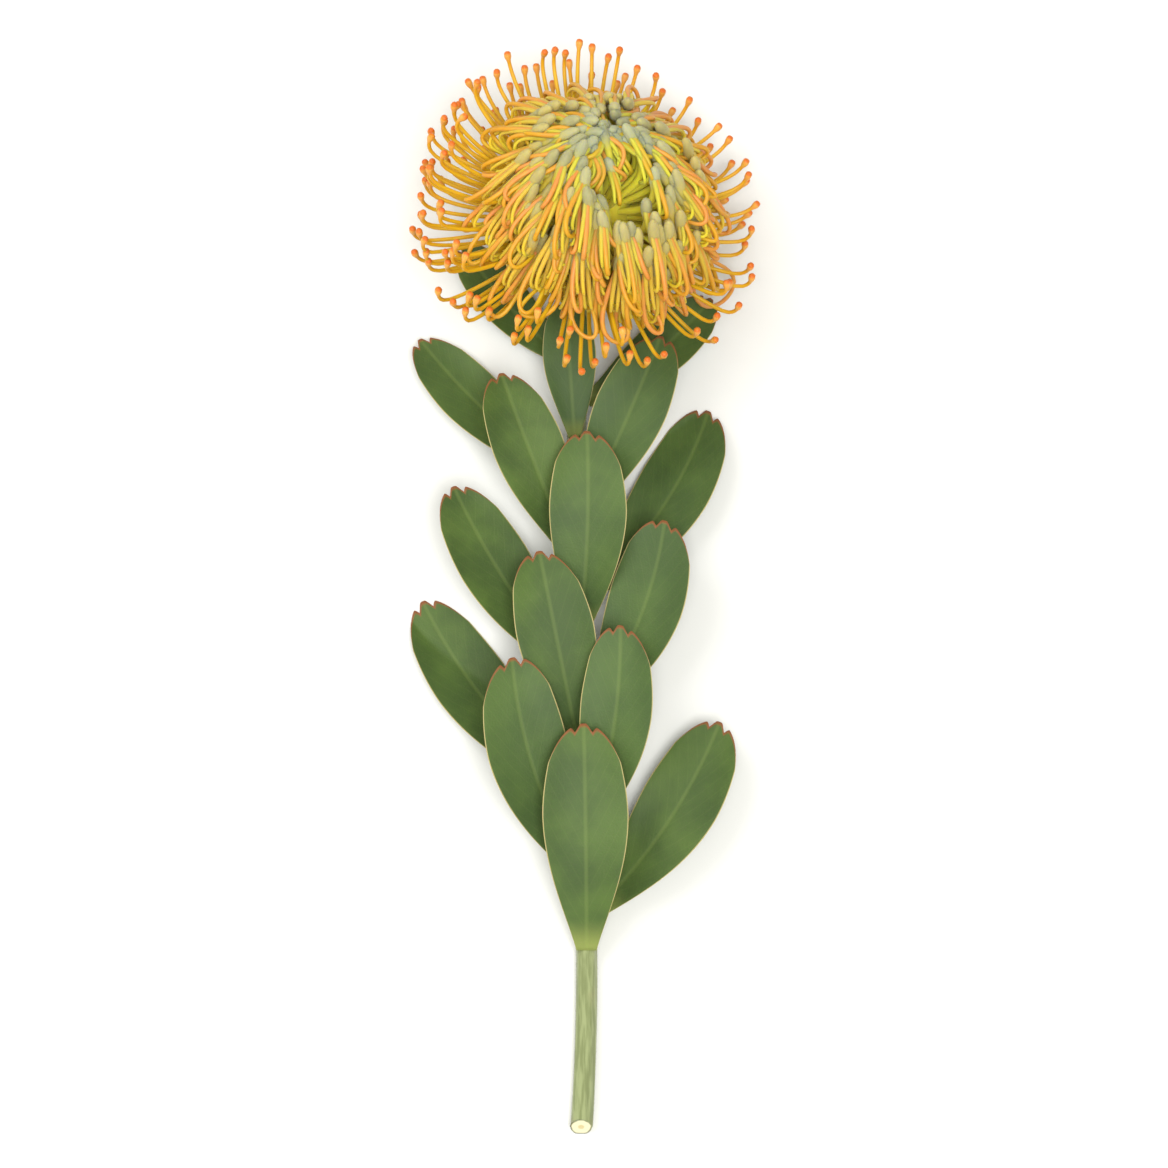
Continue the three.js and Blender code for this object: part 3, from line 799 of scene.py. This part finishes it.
def hoop(floret):
    ready = smooth((floret["age"] - LOOSE_AGE[0]) / (LOOSE_AGE[1] - LOOSE_AGE[0]))
    loose = LOOSE_THROW * smooth((draw(floret["k"], 19) - 0.1) / 0.7) * mix(0.15, 1, ready)
    track, asides, shares = bow(floret, 1 + loose, HOOP_STEPS)
    radii = [STYLE_R + HOOP_SWELL * t**3 for t in shares]
    return strand(floret, on_head(floret, track, asides), shares, radii)


def claw(floret, side):
    track, asides, shares = bow(floret, CLAW_THROW, CLAW_STEPS)
    apart = [CLAW_APART * smooth(t / 0.4) * (1 - 0.3 * smooth((t - 0.75) / 0.25)) for t in shares]
    radii = [mix(CLAW_R_END, CLAW_R, smooth((t - 0.5) / 0.4)) for t in shares]
    tones = [mix(0.3, 0.8, t) for t in shares]
    asides = [a + side * b for a, b in zip(asides, apart)]
    return strand(floret, on_head(floret, track, asides), tones, radii)


looped = [f for f in florets if not f["open"] and f["polar"] > HOOP_FROM_POLAR]
grow_strands("looped_styles", [hoop(f) for f in looped], 8, LOOPED_FLESH)
grow_strands("claws", [claw(f, side) for f in looped for side in (-1, 1)], 8, PERIANTH)

# %% [markdown]
# ## Free styles
# When the tip slips out of the limb, the style springs up and out. It sweeps in one long curve
# that turns up towards the light, then hooks at the end, where a knob carries the pollen.

# %% Free styles
FREE_STYLE_LENGTH = 45.5
FREE_LENGTH_VARIES = 0.06
FREE_ROOT_RHO = ROOT_RHO + 3
FREE_SPLAY = 7 * DEGREE
SWEEP, SWEEP_VARIES = 36, 12
HOOK_FAR, HOOK_NEAR, HOOK_VARIES = 28, 88, 26
HOOK_START = 0.76
HOOK_RUN = 0.22
PRESENTER_R = 1.2
PRESENTER_LENGTH = 3.8
FREE_SHARES = [i * 0.05 for i in range(18)] + [0.88, 0.905]
KNOB_SHARES = (0.95, 0.75, 0.55, 0.35, 0.18, 0.07, 0)
KNOB_SWELL = (0.0, 0.35, 0.85, 1.0, 0.9)
KNOB_END_RADII = [0.85, 0.3]


def free_style(floret):
    k, polar = floret["k"], floret["polar"]
    length = FREE_STYLE_LENGTH * (1 + FREE_LENGTH_VARIES * draw(k, 7))
    sweep = (SWEEP + SWEEP_VARIES * draw(k, 8)) * DEGREE
    near_side = 0.5 - 0.5 * math.cos(floret["azimuth"])
    hook = (mix(HOOK_FAR, HOOK_NEAR, near_side) + HOOK_VARIES * draw(k, 9)) * DEGREE
    knob = PRESENTER_LENGTH / length
    shares = FREE_SHARES + [1 - knob * x for x in KNOB_SHARES]
    radii = [mix(STYLE_R * 1.15, STYLE_R * 0.92, t) for t in FREE_SHARES]
    radii += [mix(STYLE_R * 0.95, PRESENTER_R, x) for x in KNOB_SWELL] + KNOB_END_RADII

    def heading(t):
        bent = sweep * t * t + hook * smooth((t - HOOK_START) / HOOK_RUN)
        return polar + FREE_SPLAY - bent

    def tone(t):
        if t < 1 - knob:
            return t * 0.93 / (1 - knob)
        return mix(0.94, 1, (t - 1 + knob) / knob)

    track = follow(polar_point(FREE_ROOT_RHO, polar), length, heading, shares)
    asides = [2 * STRAY * draw(k, 10) * t**2 for t in shares]
    return strand(floret, on_head(floret, track, asides), [tone(t) for t in shares], radii)


free_strands = [free_style(f) for f in florets if f["open"]]
grow_strands("free_styles", free_strands, 8, FREE_FLESH)

# %% [markdown]
# ## Open perianths
# What is left of an open floret is a short sleeve. Its four lobes have rolled back on
# themselves, like wood shavings, and sit round the foot of the free style.

# %% Sleeves and rolled lobes
SLEEVE_LENGTH = 19.0
SLEEVE_VARIES = 2.5
SLEEVE_SHARES = [0, 0.2, 0.4, 0.6, 0.8, 1]
SLEEVE_RADII = [0.8, 1.1, 1.3, 1.35, 1.35, 1.0]
SLEEVE_SPLAY = 3 * DEGREE
SLEEVE_BEND = 16 * DEGREE
LOBES = 4
LOBE_LENGTH = 9.0
LOBE_STEPS = 10
LOBE_SPLAY = 8 * DEGREE
LOBE_CURL = 285 * DEGREE
LOBE_OFF_AXIS = 0.6
LOBE_RADII = [0.75, 0.75, 0.7, 0.65, 0.6, 0.6, 0.65, 0.8, 0.95, 0.8, 0.35]
# A direction that no floret has, from which a lobe's sides are found.
CROSSWISE = [0.3, 0.5, 0.8]


def sleeve(floret):
    polar = floret["polar"]
    track = follow(
        polar_point(ROOT_RHO, polar),
        SLEEVE_LENGTH + SLEEVE_VARIES * draw(floret["k"], 6),
        lambda t: polar + SLEEVE_SPLAY - SLEEVE_BEND * t * t,
        SLEEVE_SHARES,
    )
    tones = [t * 0.6 for t in SLEEVE_SHARES]
    points = on_head(floret, track, [0] * len(SLEEVE_SHARES))
    return strand(floret, points, tones, SLEEVE_RADII)


def lobe(floret, foot, which):
    k = floret["k"]
    turn = 2 * math.pi * (which + 0.5 * draw(k, 14)) / LOBES
    radial = unit(foot[-1] - foot[-2])
    side = unit(np.cross(radial, CROSSWISE))
    outward = side * math.cos(turn) + np.cross(radial, side) * math.sin(turn)
    curl = LOBE_CURL * (1 + 0.25 * draw(k * LOBES + which, 15))
    place = foot[-2].copy() + outward * LOBE_OFF_AXIS
    points = [place]
    for i in range(LOBE_STEPS):
        angle = LOBE_SPLAY + curl * ((i + 0.5) / LOBE_STEPS) ** 1.4
        ahead = radial * math.cos(angle) + outward * math.sin(angle)
        place = place + ahead * LOBE_LENGTH / LOBE_STEPS
        points.append(place)
    tones = [mix(0.4, 0.74, i / LOBE_STEPS) for i in range(LOBE_STEPS + 1)]
    return strand(floret, np.array(points), tones, LOBE_RADII)


open_strands = []
for floret in florets:
    if floret["open"]:
        base = sleeve(floret)
        open_strands.append(base)
        open_strands.extend(lobe(floret, base["points"], which) for which in range(LOBES))
grow_strands("open_perianths", open_strands, 8, PERIANTH)

# %% [markdown]
# ## The receptacle
# All florets grow on a solid cone in the middle. It hardly shows, but without it one could
# look right through the head. It is turned from a profile, with the tubes' deep colour above
# and felt below, where it shows over the bracts. That deep colour is painted light: a bright
# yellow that lifts the shade deep among the tubes.

# %% Pieces from rings and from sheets
TURNED_SIDES = 40


def solid_piece(name, points, faces, material, facts):
    mesh = bpy.data.meshes.new(name)
    mesh.from_pydata([tuple(p) for p in to_scene(points)], [], faces)
    mesh.shade_smooth()
    for fact, values in facts.items():
        mesh.attributes.new(fact, "FLOAT", "POINT").data.foreach_set("value", values)
    mesh.materials.append(material)
    return new_object(name, mesh)


def ring_faces(rings, sides):
    faces = []
    for i in range(rings - 1):
        for j in range(sides):
            k = (j + 1) % sides
            a, b = i * sides, (i + 1) * sides
            faces.append((a + j, b + j, b + k, a + k))
    return faces


def sheet_faces(rows, columns):
    """Faces of two layers of points, the upper one first, closed round their border."""
    layer = rows * columns
    faces = []
    for i in range(rows - 1):
        for j in range(columns - 1):
            a = i * columns + j
            b = a + columns
            faces.append((a, a + 1, b + 1, b))
            faces.append((a + layer, b + layer, b + layer + 1, a + layer + 1))
    border = list(range(columns))
    border += [i * columns + columns - 1 for i in range(1, rows)]
    border += [(rows - 1) * columns + j for j in range(columns - 2, -1, -1)]
    border += [i * columns for i in range(rows - 2, 0, -1)]
    for a, b in zip(border, border[1:] + border[:1]):
        faces.append((a, a + layer, b + layer, b))
    return faces


def head_point(r, w, turn):
    far, right = HEAD_FAR * r * math.cos(turn), HEAD_RIGHT * r * math.sin(turn)
    return HEAD_BASE + HEAD_AXIS * w + far + right


def turned(name, profile, material, facts):
    turns = [2 * math.pi * j / TURNED_SIDES for j in range(TURNED_SIDES)]
    points = [head_point(r, w, turn) for r, w in profile for turn in turns]
    last = len(points) - TURNED_SIDES
    faces = ring_faces(len(profile), TURNED_SIDES)
    faces.append(tuple(range(TURNED_SIDES)))
    faces.append(tuple(last + j for j in range(TURNED_SIDES))[::-1])
    return solid_piece(name, points, faces, material, facts)


# %% Receptacle
CORE_R = 14.5
CORE_TOP_W = 35.0
CORE_START_W = 0.6
CORE_RINGS = 24
FELTED_BELOW = (9.0, 20.0)

core_profile = []
for ring in range(1, CORE_RINGS):
    turn = math.pi * ring / CORE_RINGS
    w = CORE_START_W + CORE_TOP_W * (0.5 - 0.5 * math.cos(turn))
    core_profile.append((CORE_R * math.sin(turn), w))
heights = [w for r, w in core_profile for side in range(TURNED_SIDES)]
felted = [1 - smooth((w - FELTED_BELOW[0]) / (FELTED_BELOW[1] - FELTED_BELOW[0])) for w in heights]
receptacle = turned("receptacle", core_profile, PERIANTH, {"along": felted})
dress(receptacle, "florets", "flower_head")

# %% [markdown]
# ## Leaves
# Leaves have no stalk. They widen from the stem to a rounded end with three blunt teeth, and
# are a little dished. Each is the same surface as its solid, on a much finer grid, with thin
# edges and a sunken midrib. A grid in code fits better than a sculpted sheet here, because the
# sixteen leaves then stay clear of each other exactly as the solids do.

# %% Where the leaves are
LEAF_COUNT = 16
FIRST_LEAF_Y = 58.0
LAST_LEAF_Y = 252.0
LEAF_LENGTH = 81.0
LEAF_WIDTH = 27.0
LEAF_THICK = 0.9
LEAF_BOW = 6.0
LEAF_FAN = 92 * DEGREE
LEAF_HEADROOM_Y = (195.0, 240.0)
LAST_LEAF_SIZE = 0.8
LEAF_SIZE_VARIES = 0.09
LEAF_WIDTH_VARIES = 0.08
# Degrees from the stem at foot and tip, for a leaf on top of it and for one that lies low. The
# first of each two pairs is for leaves in the open, the second for leaves under the head.
LEAVES_BY = ((34, 52), (20, 78))
ENDS_BY = ((12, 26), (4, 55))
TOOTH = 0.62
NOTCH = 0.034
SHOULDER = 0.07


def leaf_facts(i):
    share = i / (LEAF_COUNT - 1)
    y = mix(FIRST_LEAF_Y, LAST_LEAF_Y, share)
    under = smooth((y - LEAF_HEADROOM_Y[0]) / (LEAF_HEADROOM_Y[1] - LEAF_HEADROOM_Y[0]))
    turn = ((i * GOLDEN_ANGLE + math.pi) % (2 * math.pi)) / math.pi - 1
    low = abs(turn)
    sign = math.copysign(1, turn)
    aside = mix(low * LEAF_FAN, LEAF_FAN * 0.95, under * smooth(low * 2))
    size = mix(1, LAST_LEAF_SIZE, share) * (1 + LEAF_SIZE_VARIES * draw(i, 20))
    size = size * mix(1, mix(0.6, 1, low), under)
    width = LEAF_WIDTH * math.sqrt(size) * (1 + LEAF_WIDTH_VARIES * draw(i, 21))
    return {
        "i": i,
        "at": bezier(RUN, y / STEM_RUN),
        "side": sign * aside,
        "length": LEAF_LENGTH * size,
        "width": width * mix(1, 0.85, under),
        "bow": LEAF_BOW * draw(i, 24) * (1 - under),
        "leave": mix(mix(*LEAVES_BY[0], low), mix(*LEAVES_BY[1], low), under) * DEGREE,
        "end": mix(mix(*ENDS_BY[0], low), mix(*ENDS_BY[1], low), under) * DEGREE,
        "bank": mix(22, 8, under) * DEGREE * math.sin(aside) * sign,
        "droop": mix(10, 3, low) * (1 - under) + 7 * smooth((low - 0.6) / 0.3),
        "cup": mix(2.2, 1.4, under),
    }


def leaf_outline(t):
    grow = 0.24 + 0.76 * np.sin(math.pi / 2 * np.clip(t / 0.62, 0, 1)) ** 1.15
    return grow * (1 - 0.42 * np.clip((t - 0.6) / 0.4, 0, 1) ** 1.8)


def leaf_tip_drop(c):
    a = np.abs(c)
    notch = np.where(a < TOOTH, NOTCH * np.clip(1 - np.abs(a - TOOTH / 2) / 0.2, 0, 1) ** 1.3, 0)
    return 0.1 * a**2.4 + SHOULDER * a**10 + notch


def leaf_surface(leaf, s, c):
    """Points of the middle of the blade, for arrays of places along it and across it."""
    t = s * (1 - leaf_tip_drop(c))
    turned_by = leaf["leave"] - leaf["end"]
    angle = leaf["leave"] - turned_by * t
    forward = leaf["length"] * (math.sin(leaf["leave"]) - np.sin(angle)) / turned_by
    outward = leaf["length"] * (np.cos(angle) - math.cos(leaf["leave"])) / turned_by
    out = np.array([math.sin(leaf["side"]), 0, math.cos(leaf["side"])])
    along = np.sin(angle)[..., None] * out
    along[..., 1] += np.cos(angle)
    flat = np.stack([along[..., 1], -along[..., 0], 0 * t], -1)
    flat /= np.linalg.norm(flat, axis=-1, keepdims=True)
    over = np.cross(flat, along)
    half = leaf["width"] / 2 * leaf_outline(t) * c
    points = leaf["at"] + (STEM_R_CUT * 0.9 + outward)[..., None] * out
    points = points + (half * math.cos(leaf["bank"]) + leaf["bow"] * t * t)[..., None] * flat
    points = points + (half * math.sin(leaf["bank"]))[..., None] * over
    points[..., 1] += forward
    points[..., 2] += leaf["cup"] * leaf_outline(t) * c * c - leaf["droop"] * t * t
    return points, t


# %% A leaf as a fine, closed sheet
LEAF_GRID = (56, 41)
BLADE_THICK = 0.75
BLADE_EDGE_THIN = 0.55
FOOT_THICK = 1.1
WAVE = 0.8
GROOVE = 0.16
GROOVE_HALF_WIDTH = 0.9
UNDERSIDE_Z = 0.02


def leaf_piece(leaf, name):
    # Columns stand closer near the edges, where the blade thins and the corners are round.
    even = np.linspace(-1, 1, LEAF_GRID[1])
    crowded = (even + np.sin(math.pi / 2 * even)) / 2
    s, c = np.meshgrid(np.linspace(0, 1, LEAF_GRID[0]), crowded, indexing="ij")
    points, t = leaf_surface(leaf, s, c)
    phase = 6 * draw(leaf["i"], 22)
    points[..., 2] += WAVE * c * c * np.sin(9 * t + phase + 1.5 * np.sign(c)) * smooth(t * 4)
    points[..., 2] = np.maximum(points[..., 2], LEAF_THICK / 2)
    across = leaf["width"] / 2 * leaf_outline(t) * c
    groove = GROOVE * np.exp(-((across / GROOVE_HALF_WIDTH) ** 2)) * (1 - 0.6 * t)
    thin = 1 - BLADE_EDGE_THIN * np.abs(c) ** 14
    thick = BLADE_THICK / 2 * thin * (1 + FOOT_THICK * (1 - t) ** 8)
    top, under = points.copy(), points.copy()
    top[..., 2] += thick - groove
    under[..., 2] -= thick + 0.6 * groove
    under[..., 2] = np.maximum(under[..., 2], UNDERSIDE_Z)
    facts = {
        "across": across,
        "along": t * leaf["length"],
        "edge": np.maximum(np.abs(c), smooth((s - 0.93) / 0.0575)),
        "share": t,
        "tint": np.full(t.shape, 0.5 + 0.5 * draw(leaf["i"], 23)),
    }
    facts = {fact: np.tile(values.ravel(), 2) for fact, values in facts.items()}
    points = np.concatenate([top.reshape(-1, 3), under.reshape(-1, 3)])
    return solid_piece(name, points, sheet_faces(*LEAF_GRID), LEAF_FINISH, facts)


# %% [markdown]
# ## Finish: leathery leaf with a waxy bloom
# The leaves are thick and dull, deep green with a slight bloom of wax that softens all
# highlights. Veins are faint: a paler midrib, and side veins that run forward at a low angle
# every 7 mm or so. The margin is a hair-thin horny line, pale to rust red at the teeth.

# %% Leathery leaf
VEIN_SPACING_MM = 7.0
VEIN_FORWARD = 2.0
LEAF_FACTS = ("across", "along", "edge", "share", "tint")


def leathery_leaf(tree, place, across, along, edge, share, tint):
    cloud, grain = [
        add(tree, "ShaderNodeTexNoise", sockets={"Vector": place, "Scale": scale, "Detail": 3.0})
        for scale in (45.0, 1400.0)
    ]
    green = layered(tree, "#3A4E1E", [(cloud, 0.35, 0.68, 1.0, "#4E6428")])
    own = add(tree, "ShaderNodeMath", TIMES, {0: tint, 1: 0.45})
    green = add(tree, "ShaderNodeMix", COLOURS, {0: own, 6: green, 7: "#465C34"}).outputs[2]
    distance_out = add(tree, "ShaderNodeMath", {"operation": "ABSOLUTE"}, {0: across})
    sockets = {0: distance_out, 1: -VEIN_FORWARD, 2: along}
    lean = add(tree, "ShaderNodeMath", {"operation": "MULTIPLY_ADD"}, sockets)
    spaced = add(tree, "ShaderNodeMath", {"operation": "PINGPONG"}, {0: lean, 1: VEIN_SPACING_MM / 2})
    sockets = {"Value": distance_out, "From Min": 1.0, "From Max": 0.15, "To Max": 0.16}
    rib = add(tree, "ShaderNodeMapRange", SOFT_STEP, sockets)
    sockets = {"Value": spaced, "From Min": 0.6, "From Max": 0.0, "To Max": 0.045}
    vein = add(tree, "ShaderNodeMapRange", SOFT_STEP, sockets)
    lines = add(tree, "ShaderNodeMath", {"operation": "MAXIMUM"}, {0: rib, 1: vein})
    veined = add(tree, "ShaderNodeMix", COLOURS, {0: lines, 6: green, 7: "#84964E"}).outputs[2]
    rim = layered(tree, "#B5A56E", [(share, 0.8, 0.92, 1.0, "#86502E")])
    layers = [(share, 0.16, 0.0, 0.7, "#929C50"), (edge, 0.965, 0.995, 1.0, rim)]
    height = add(tree, "ShaderNodeMath", {"operation": "MULTIPLY_ADD"}, {0: lines, 1: -1.2, 2: grain})
    bump = add(tree, "ShaderNodeBump", sockets={"Strength": 0.35, "Distance": 0.00025, "Height": height})
    return {
        "Base Color": layered(tree, veined, layers),
        "Roughness": 0.58,
        "Specular IOR Level": 0.28,
        "Sheen Weight": 0.05,
        "Subsurface Weight": 0.1,
        "Subsurface Radius": (0.3, 0.8, 0.15),
        "Subsurface Scale": 0.001,
        "Normal": bump,
    }


LEAF_FINISH = make_material("leathery leaf with a waxy bloom", leathery_leaf, *LEAF_FACTS)

for leaf_number in range(LEAF_COUNT):
    number = f"{leaf_number + 1:02d}"
    blade = leaf_piece(leaf_facts(leaf_number), "leaf_blade_" + number)
    dress(blade, "leaf", "leaf_" + number)
    low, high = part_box("leaf_" + number)
    points = np.array([v.co for v in blade.data.vertices])
    lower, higher = (points.min(0) - low) / MM, (points.max(0) - high) / MM
    print("leaf", number, "differs by mm", lower.round(1), higher.round(1))

# %% [markdown]
# ## Stem
# The stem is woody and nearly round, with a low cushion under every leaf and shallow ridges
# between them. It is swept ring by ring along its line. The first rings are slid onto the
# slanted cut, which a knife left, and the cut face shows wood round a pale pith.

# %% The skin of the stem, ring by ring
STEM_RINGS = (210, 34)
STEM_AROUND = 48
SKIN_DEPTH = 0.12
RIDGE, FINE_RIDGE = 0.1, 0.05
CUSHION = 0.55
CUSHION_REACH = 4.5


def stem_skin():
    run, elbow = STEM_RINGS
    places = [bezier(RUN, i / run) for i in range(run)]
    places += [bezier(ELBOW, i / elbow) for i in range(elbow + 1)]
    radii = [stem_radius(i / run) for i in range(run)] + [STEM_R_NECK] * (elbow + 1)
    leaves = [leaf_facts(i) for i in range(LEAF_COUNT)]
    points = []
    for place, radius, tangent in zip(places, radii, np.gradient(np.array(places), axis=0)):
        along = unit(tangent)
        right = unit(np.array([1, 0, 0]) - along * along[0])
        up = np.cross(right, along)
        for j in range(STEM_AROUND):
            turn = 2 * math.pi * j / STEM_AROUND
            bump = RIDGE * math.sin(5 * turn + place[1] / 23)
            bump += FINE_RIDGE * math.sin(11 * turn - place[1] / 9)
            for leaf in leaves:
                near = math.exp(-(((place[1] - leaf["at"][1] - 1) / CUSHION_REACH) ** 2))
                facing = max(0, math.cos(turn - (math.pi / 2 - leaf["side"])))
                bump += CUSHION * near * facing**3
            r = radius - SKIN_DEPTH + bump
            point = place + right * r * math.cos(turn) + up * r * math.sin(turn)
            slant = CUT_START + max(point[2], 0) * math.tan(CUT_SLANT)
            point[1] = max(point[1], slant)
            point[2] = max(point[2], 0.0)
            points.append(point)
    return points


stem_points = stem_skin()
stem_faces = ring_faces(len(stem_points) // STEM_AROUND, STEM_AROUND)
print("the stem has", sum(STEM_RINGS) + 1, "rings")

# %% The cut face, as rings that shrink to its middle
CUT_RINGS = 7


def close_ends(points, faces):
    """Adds the cut face and the end in the neck, and says how deep in the wood each point is."""
    wood = [0.0] * len(points)
    last = len(points) - STEM_AROUND
    centre = np.mean(points[:STEM_AROUND], axis=0)
    outer = list(range(STEM_AROUND))
    for ring in range(1, CUT_RINGS):
        shrink = 1 - ring / CUT_RINGS
        inner = [len(points) + j for j in range(STEM_AROUND)]
        points += [centre + (point - centre) * shrink for point in points[:STEM_AROUND]]
        wood += [1 - shrink] * STEM_AROUND
        for j in range(STEM_AROUND):
            k = (j + 1) % STEM_AROUND
            faces.append((outer[j], outer[k], inner[k], inner[j]))
        outer = inner
    tip = len(points)
    points.append(centre)
    wood.append(1.0)
    faces.extend((outer[j], outer[(j + 1) % STEM_AROUND], tip) for j in range(STEM_AROUND))
    faces.append(tuple(last + j for j in range(STEM_AROUND))[::-1])
    return wood


stem_wood = close_ends(stem_points, stem_faces)
print("the cut face has", CUT_RINGS, "rings")

# %% [markdown]
# ## Finish: young bark, and a fresh cut
# Young bark is green-brown under a thin grey felt, rough and without gloss. On the cut, a pale
# cream wood lies between the bark and a slightly darker, spongy pith.

# %% Young bark
def young_bark(tree, place, wood):
    stretched = add(tree, "ShaderNodeMapping", sockets={"Vector": place, "Scale": (900.0, 90.0, 900.0)})
    streak = add(tree, "ShaderNodeTexNoise", sockets={"Vector": stretched, "Scale": 1.0, "Detail": 5.0})
    blotch = add(tree, "ShaderNodeTexNoise", sockets={"Vector": place, "Scale": 60.0, "Detail": 2.0})
    layers = [
        (streak, 0.38, 0.66, 1.0, "#8B9464"),
        (blotch, 0.5, 0.72, 0.45, "#8E6A4C"),
        (wood, 0.08, 0.2, 1.0, layered(tree, "#E4DDB4", [(wood, 0.62, 0.8, 1.0, "#CDBD86")])),
    ]
    bump = add(tree, "ShaderNodeBump", sockets={"Strength": 0.5, "Distance": 0.0003, "Height": streak})
    return {
        "Base Color": layered(tree, "#717A4B", layers),
        "Roughness": 0.8,
        "Sheen Weight": 0.3,
        "Normal": bump,
    }


DOWN_FROM_Z = 1.3
DOWN_FROM_CUT = 3.0

BARK = make_material("young bark with a fresh cut", young_bark, "wood")
downy = [
    float(z > DOWN_FROM_Z and y > CUT_START + z * math.tan(CUT_SLANT) + DOWN_FROM_CUT)
    for x, y, z in stem_points
]
stem_facts = {"wood": stem_wood, "downy": downy}
woody_stem = solid_piece("woody_stem", stem_points, stem_faces, BARK, stem_facts)
dress(woody_stem, "stem", "stem")
down = hairs("stem_down", woody_stem, "downy", 0.4, 1.0, 1.1, 0.55, 0.03, 2)
dress(down, "stem", "stem")

# %% [markdown]
# ## Bracts
# Below the head, three rows of small pointed bracts overlap like roof tiles round a low cup.
# Each is a thin blade with a raised back, laid along the rounded underside of the head.

# %% Bract shapes
SOLID_CORE_R = 16.0
SOLID_CORE_TOP = 37.0
GAP = 0.3
# How many bracts a row has, where they start and end in degrees, and how far they are lifted.
BRACT_ROWS = ((9, 8.0, 33.0, 1.6), (12, 12.0, 40.0, 1.0), (14, 18.0, 46.0, 0.4))
BRACT_GRID = (9, 7)
BRACT_WIDTH = 6.2
BRACT_THICK = 0.7
BRACT_STRAYS = 0.12
BRACT_LENGTH_VARIES = 2.5
BRACT_WOBBLE = 0.35


def under_head(turn, outside):
    half = SOLID_CORE_TOP / 2
    r = (SOLID_CORE_R + outside) * math.sin(turn)
    return r, GAP + half - (half + outside) * math.cos(turn)


def bract(azimuth, start, end, lift, wobble):
    rows, columns = BRACT_GRID
    points, tips, silky = [], [], []
    for layer in (1, 0):
        for i in range(rows):
            t = i / (rows - 1)
            half = BRACT_WIDTH / 2 * (0.72 + 0.28 * math.sin(math.pi * t)) * (1 - t**2.6) + 0.12
            for j in range(columns):
                c = 2 * j / (columns - 1) - 1
                arch = 0.5 * (1 - c * c) + lift + 0.5 * t * t + wobble * t
                outside = GAP + 0.25 + arch * 0.75 + layer * BRACT_THICK * (1 - 0.5 * abs(c) ** 3)
                r, w = under_head(mix(start, end, t) * DEGREE, outside)
                points.append(head_point(r, w, azimuth + c * half / max(r, 2.5)))
                tips.append(t)
                silky.append(layer * (0.25 + 0.75 * abs(c)))
    return points, tips, silky


# %% [markdown]
# ## Finish: felted bract
# Bracts are papery, straw to olive, browned at their points, under silky hairs.

# %% Felted bract
def felted_bract(tree, place, tip):
    mottle = add(tree, "ShaderNodeTexNoise", sockets={"Vector": place, "Scale": 420.0, "Detail": 4.0})
    mottled = add(tree, "ShaderNodeMix", COLOURS, {0: mottle, 6: "#8E9458", 7: "#BDB482"}).outputs[2]
    bump = add(tree, "ShaderNodeBump", sockets={"Strength": 0.4, "Distance": 0.0002, "Height": mottle})
    return {
        "Base Color": layered(tree, mottled, [(tip, 0.55, 1.0, 0.75, "#8A5A38")]),
        "Roughness": 0.8,
        "Sheen Weight": 0.5,
        "Normal": bump,
    }


FELTED_BRACT = make_material("felted bract", felted_bract, "tip")

# %% Three rows of bracts
bract_points, bract_faces = [], []
bract_facts = {"tip": [], "silky": []}
for row, (count, start, end, lift) in enumerate(BRACT_ROWS):
    for i in range(count):
        swung = i + 0.5 * (row % 2) + BRACT_STRAYS * draw(i, 30 + row)
        reach = end + BRACT_LENGTH_VARIES * draw(i, 40 + row)
        wobble = BRACT_WOBBLE * draw(i, 50 + row)
        points, tips, silky = bract(2 * math.pi * swung / count, start, reach, lift, wobble)
        first = len(bract_points)
        for face in sheet_faces(*BRACT_GRID):
            # A bract's outer layer looks down, so its faces run the other way round.
            bract_faces.append(tuple(first + corner for corner in face[:1] + face[:0:-1]))
        bract_points += points
        bract_facts["tip"] += tips
        bract_facts["silky"] += silky
bracts = solid_piece("bracts", bract_points, bract_faces, FELTED_BRACT, bract_facts)
dress(bracts, "bracts", "involucre")
silk = hairs("bract_silk", bracts, "silky", 0.1, 1.0, 1.6, 0.9, 0.03, 3)
dress(silk, "bracts", "involucre")

# %% The cup that holds them
CUP_THICK = 1.2

cup_profile = [
    (STEM_R_NECK - 0.3, -NECK_LENGTH - 0.3),
    (STEM_R_NECK + 0.5, -NECK_LENGTH + 0.1),
    (STEM_R_NECK + 1.6, -NECK_LENGTH + 0.9),
    *[under_head(turn * DEGREE, CUP_THICK) for turn in (16, 22, 28, 34)],
    *[under_head(turn * DEGREE, GAP) for turn in (34, 22, 10)],
    (0.4, 0.05),
]
dress(turned("bract_cup", cup_profile, FELTED_BRACT, {}), "bracts", "involucre")

# %% Sizes, and the end
dressed_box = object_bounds()
over = [(b - a) / MM for a, b in zip(cad_box[1], dressed_box[1])]
less = [(a - b) / MM for a, b in zip(cad_box[0], dressed_box[0])]
print("visual stands proud of the solids by, mm:", np.round(less, 1), np.round(over, 1))
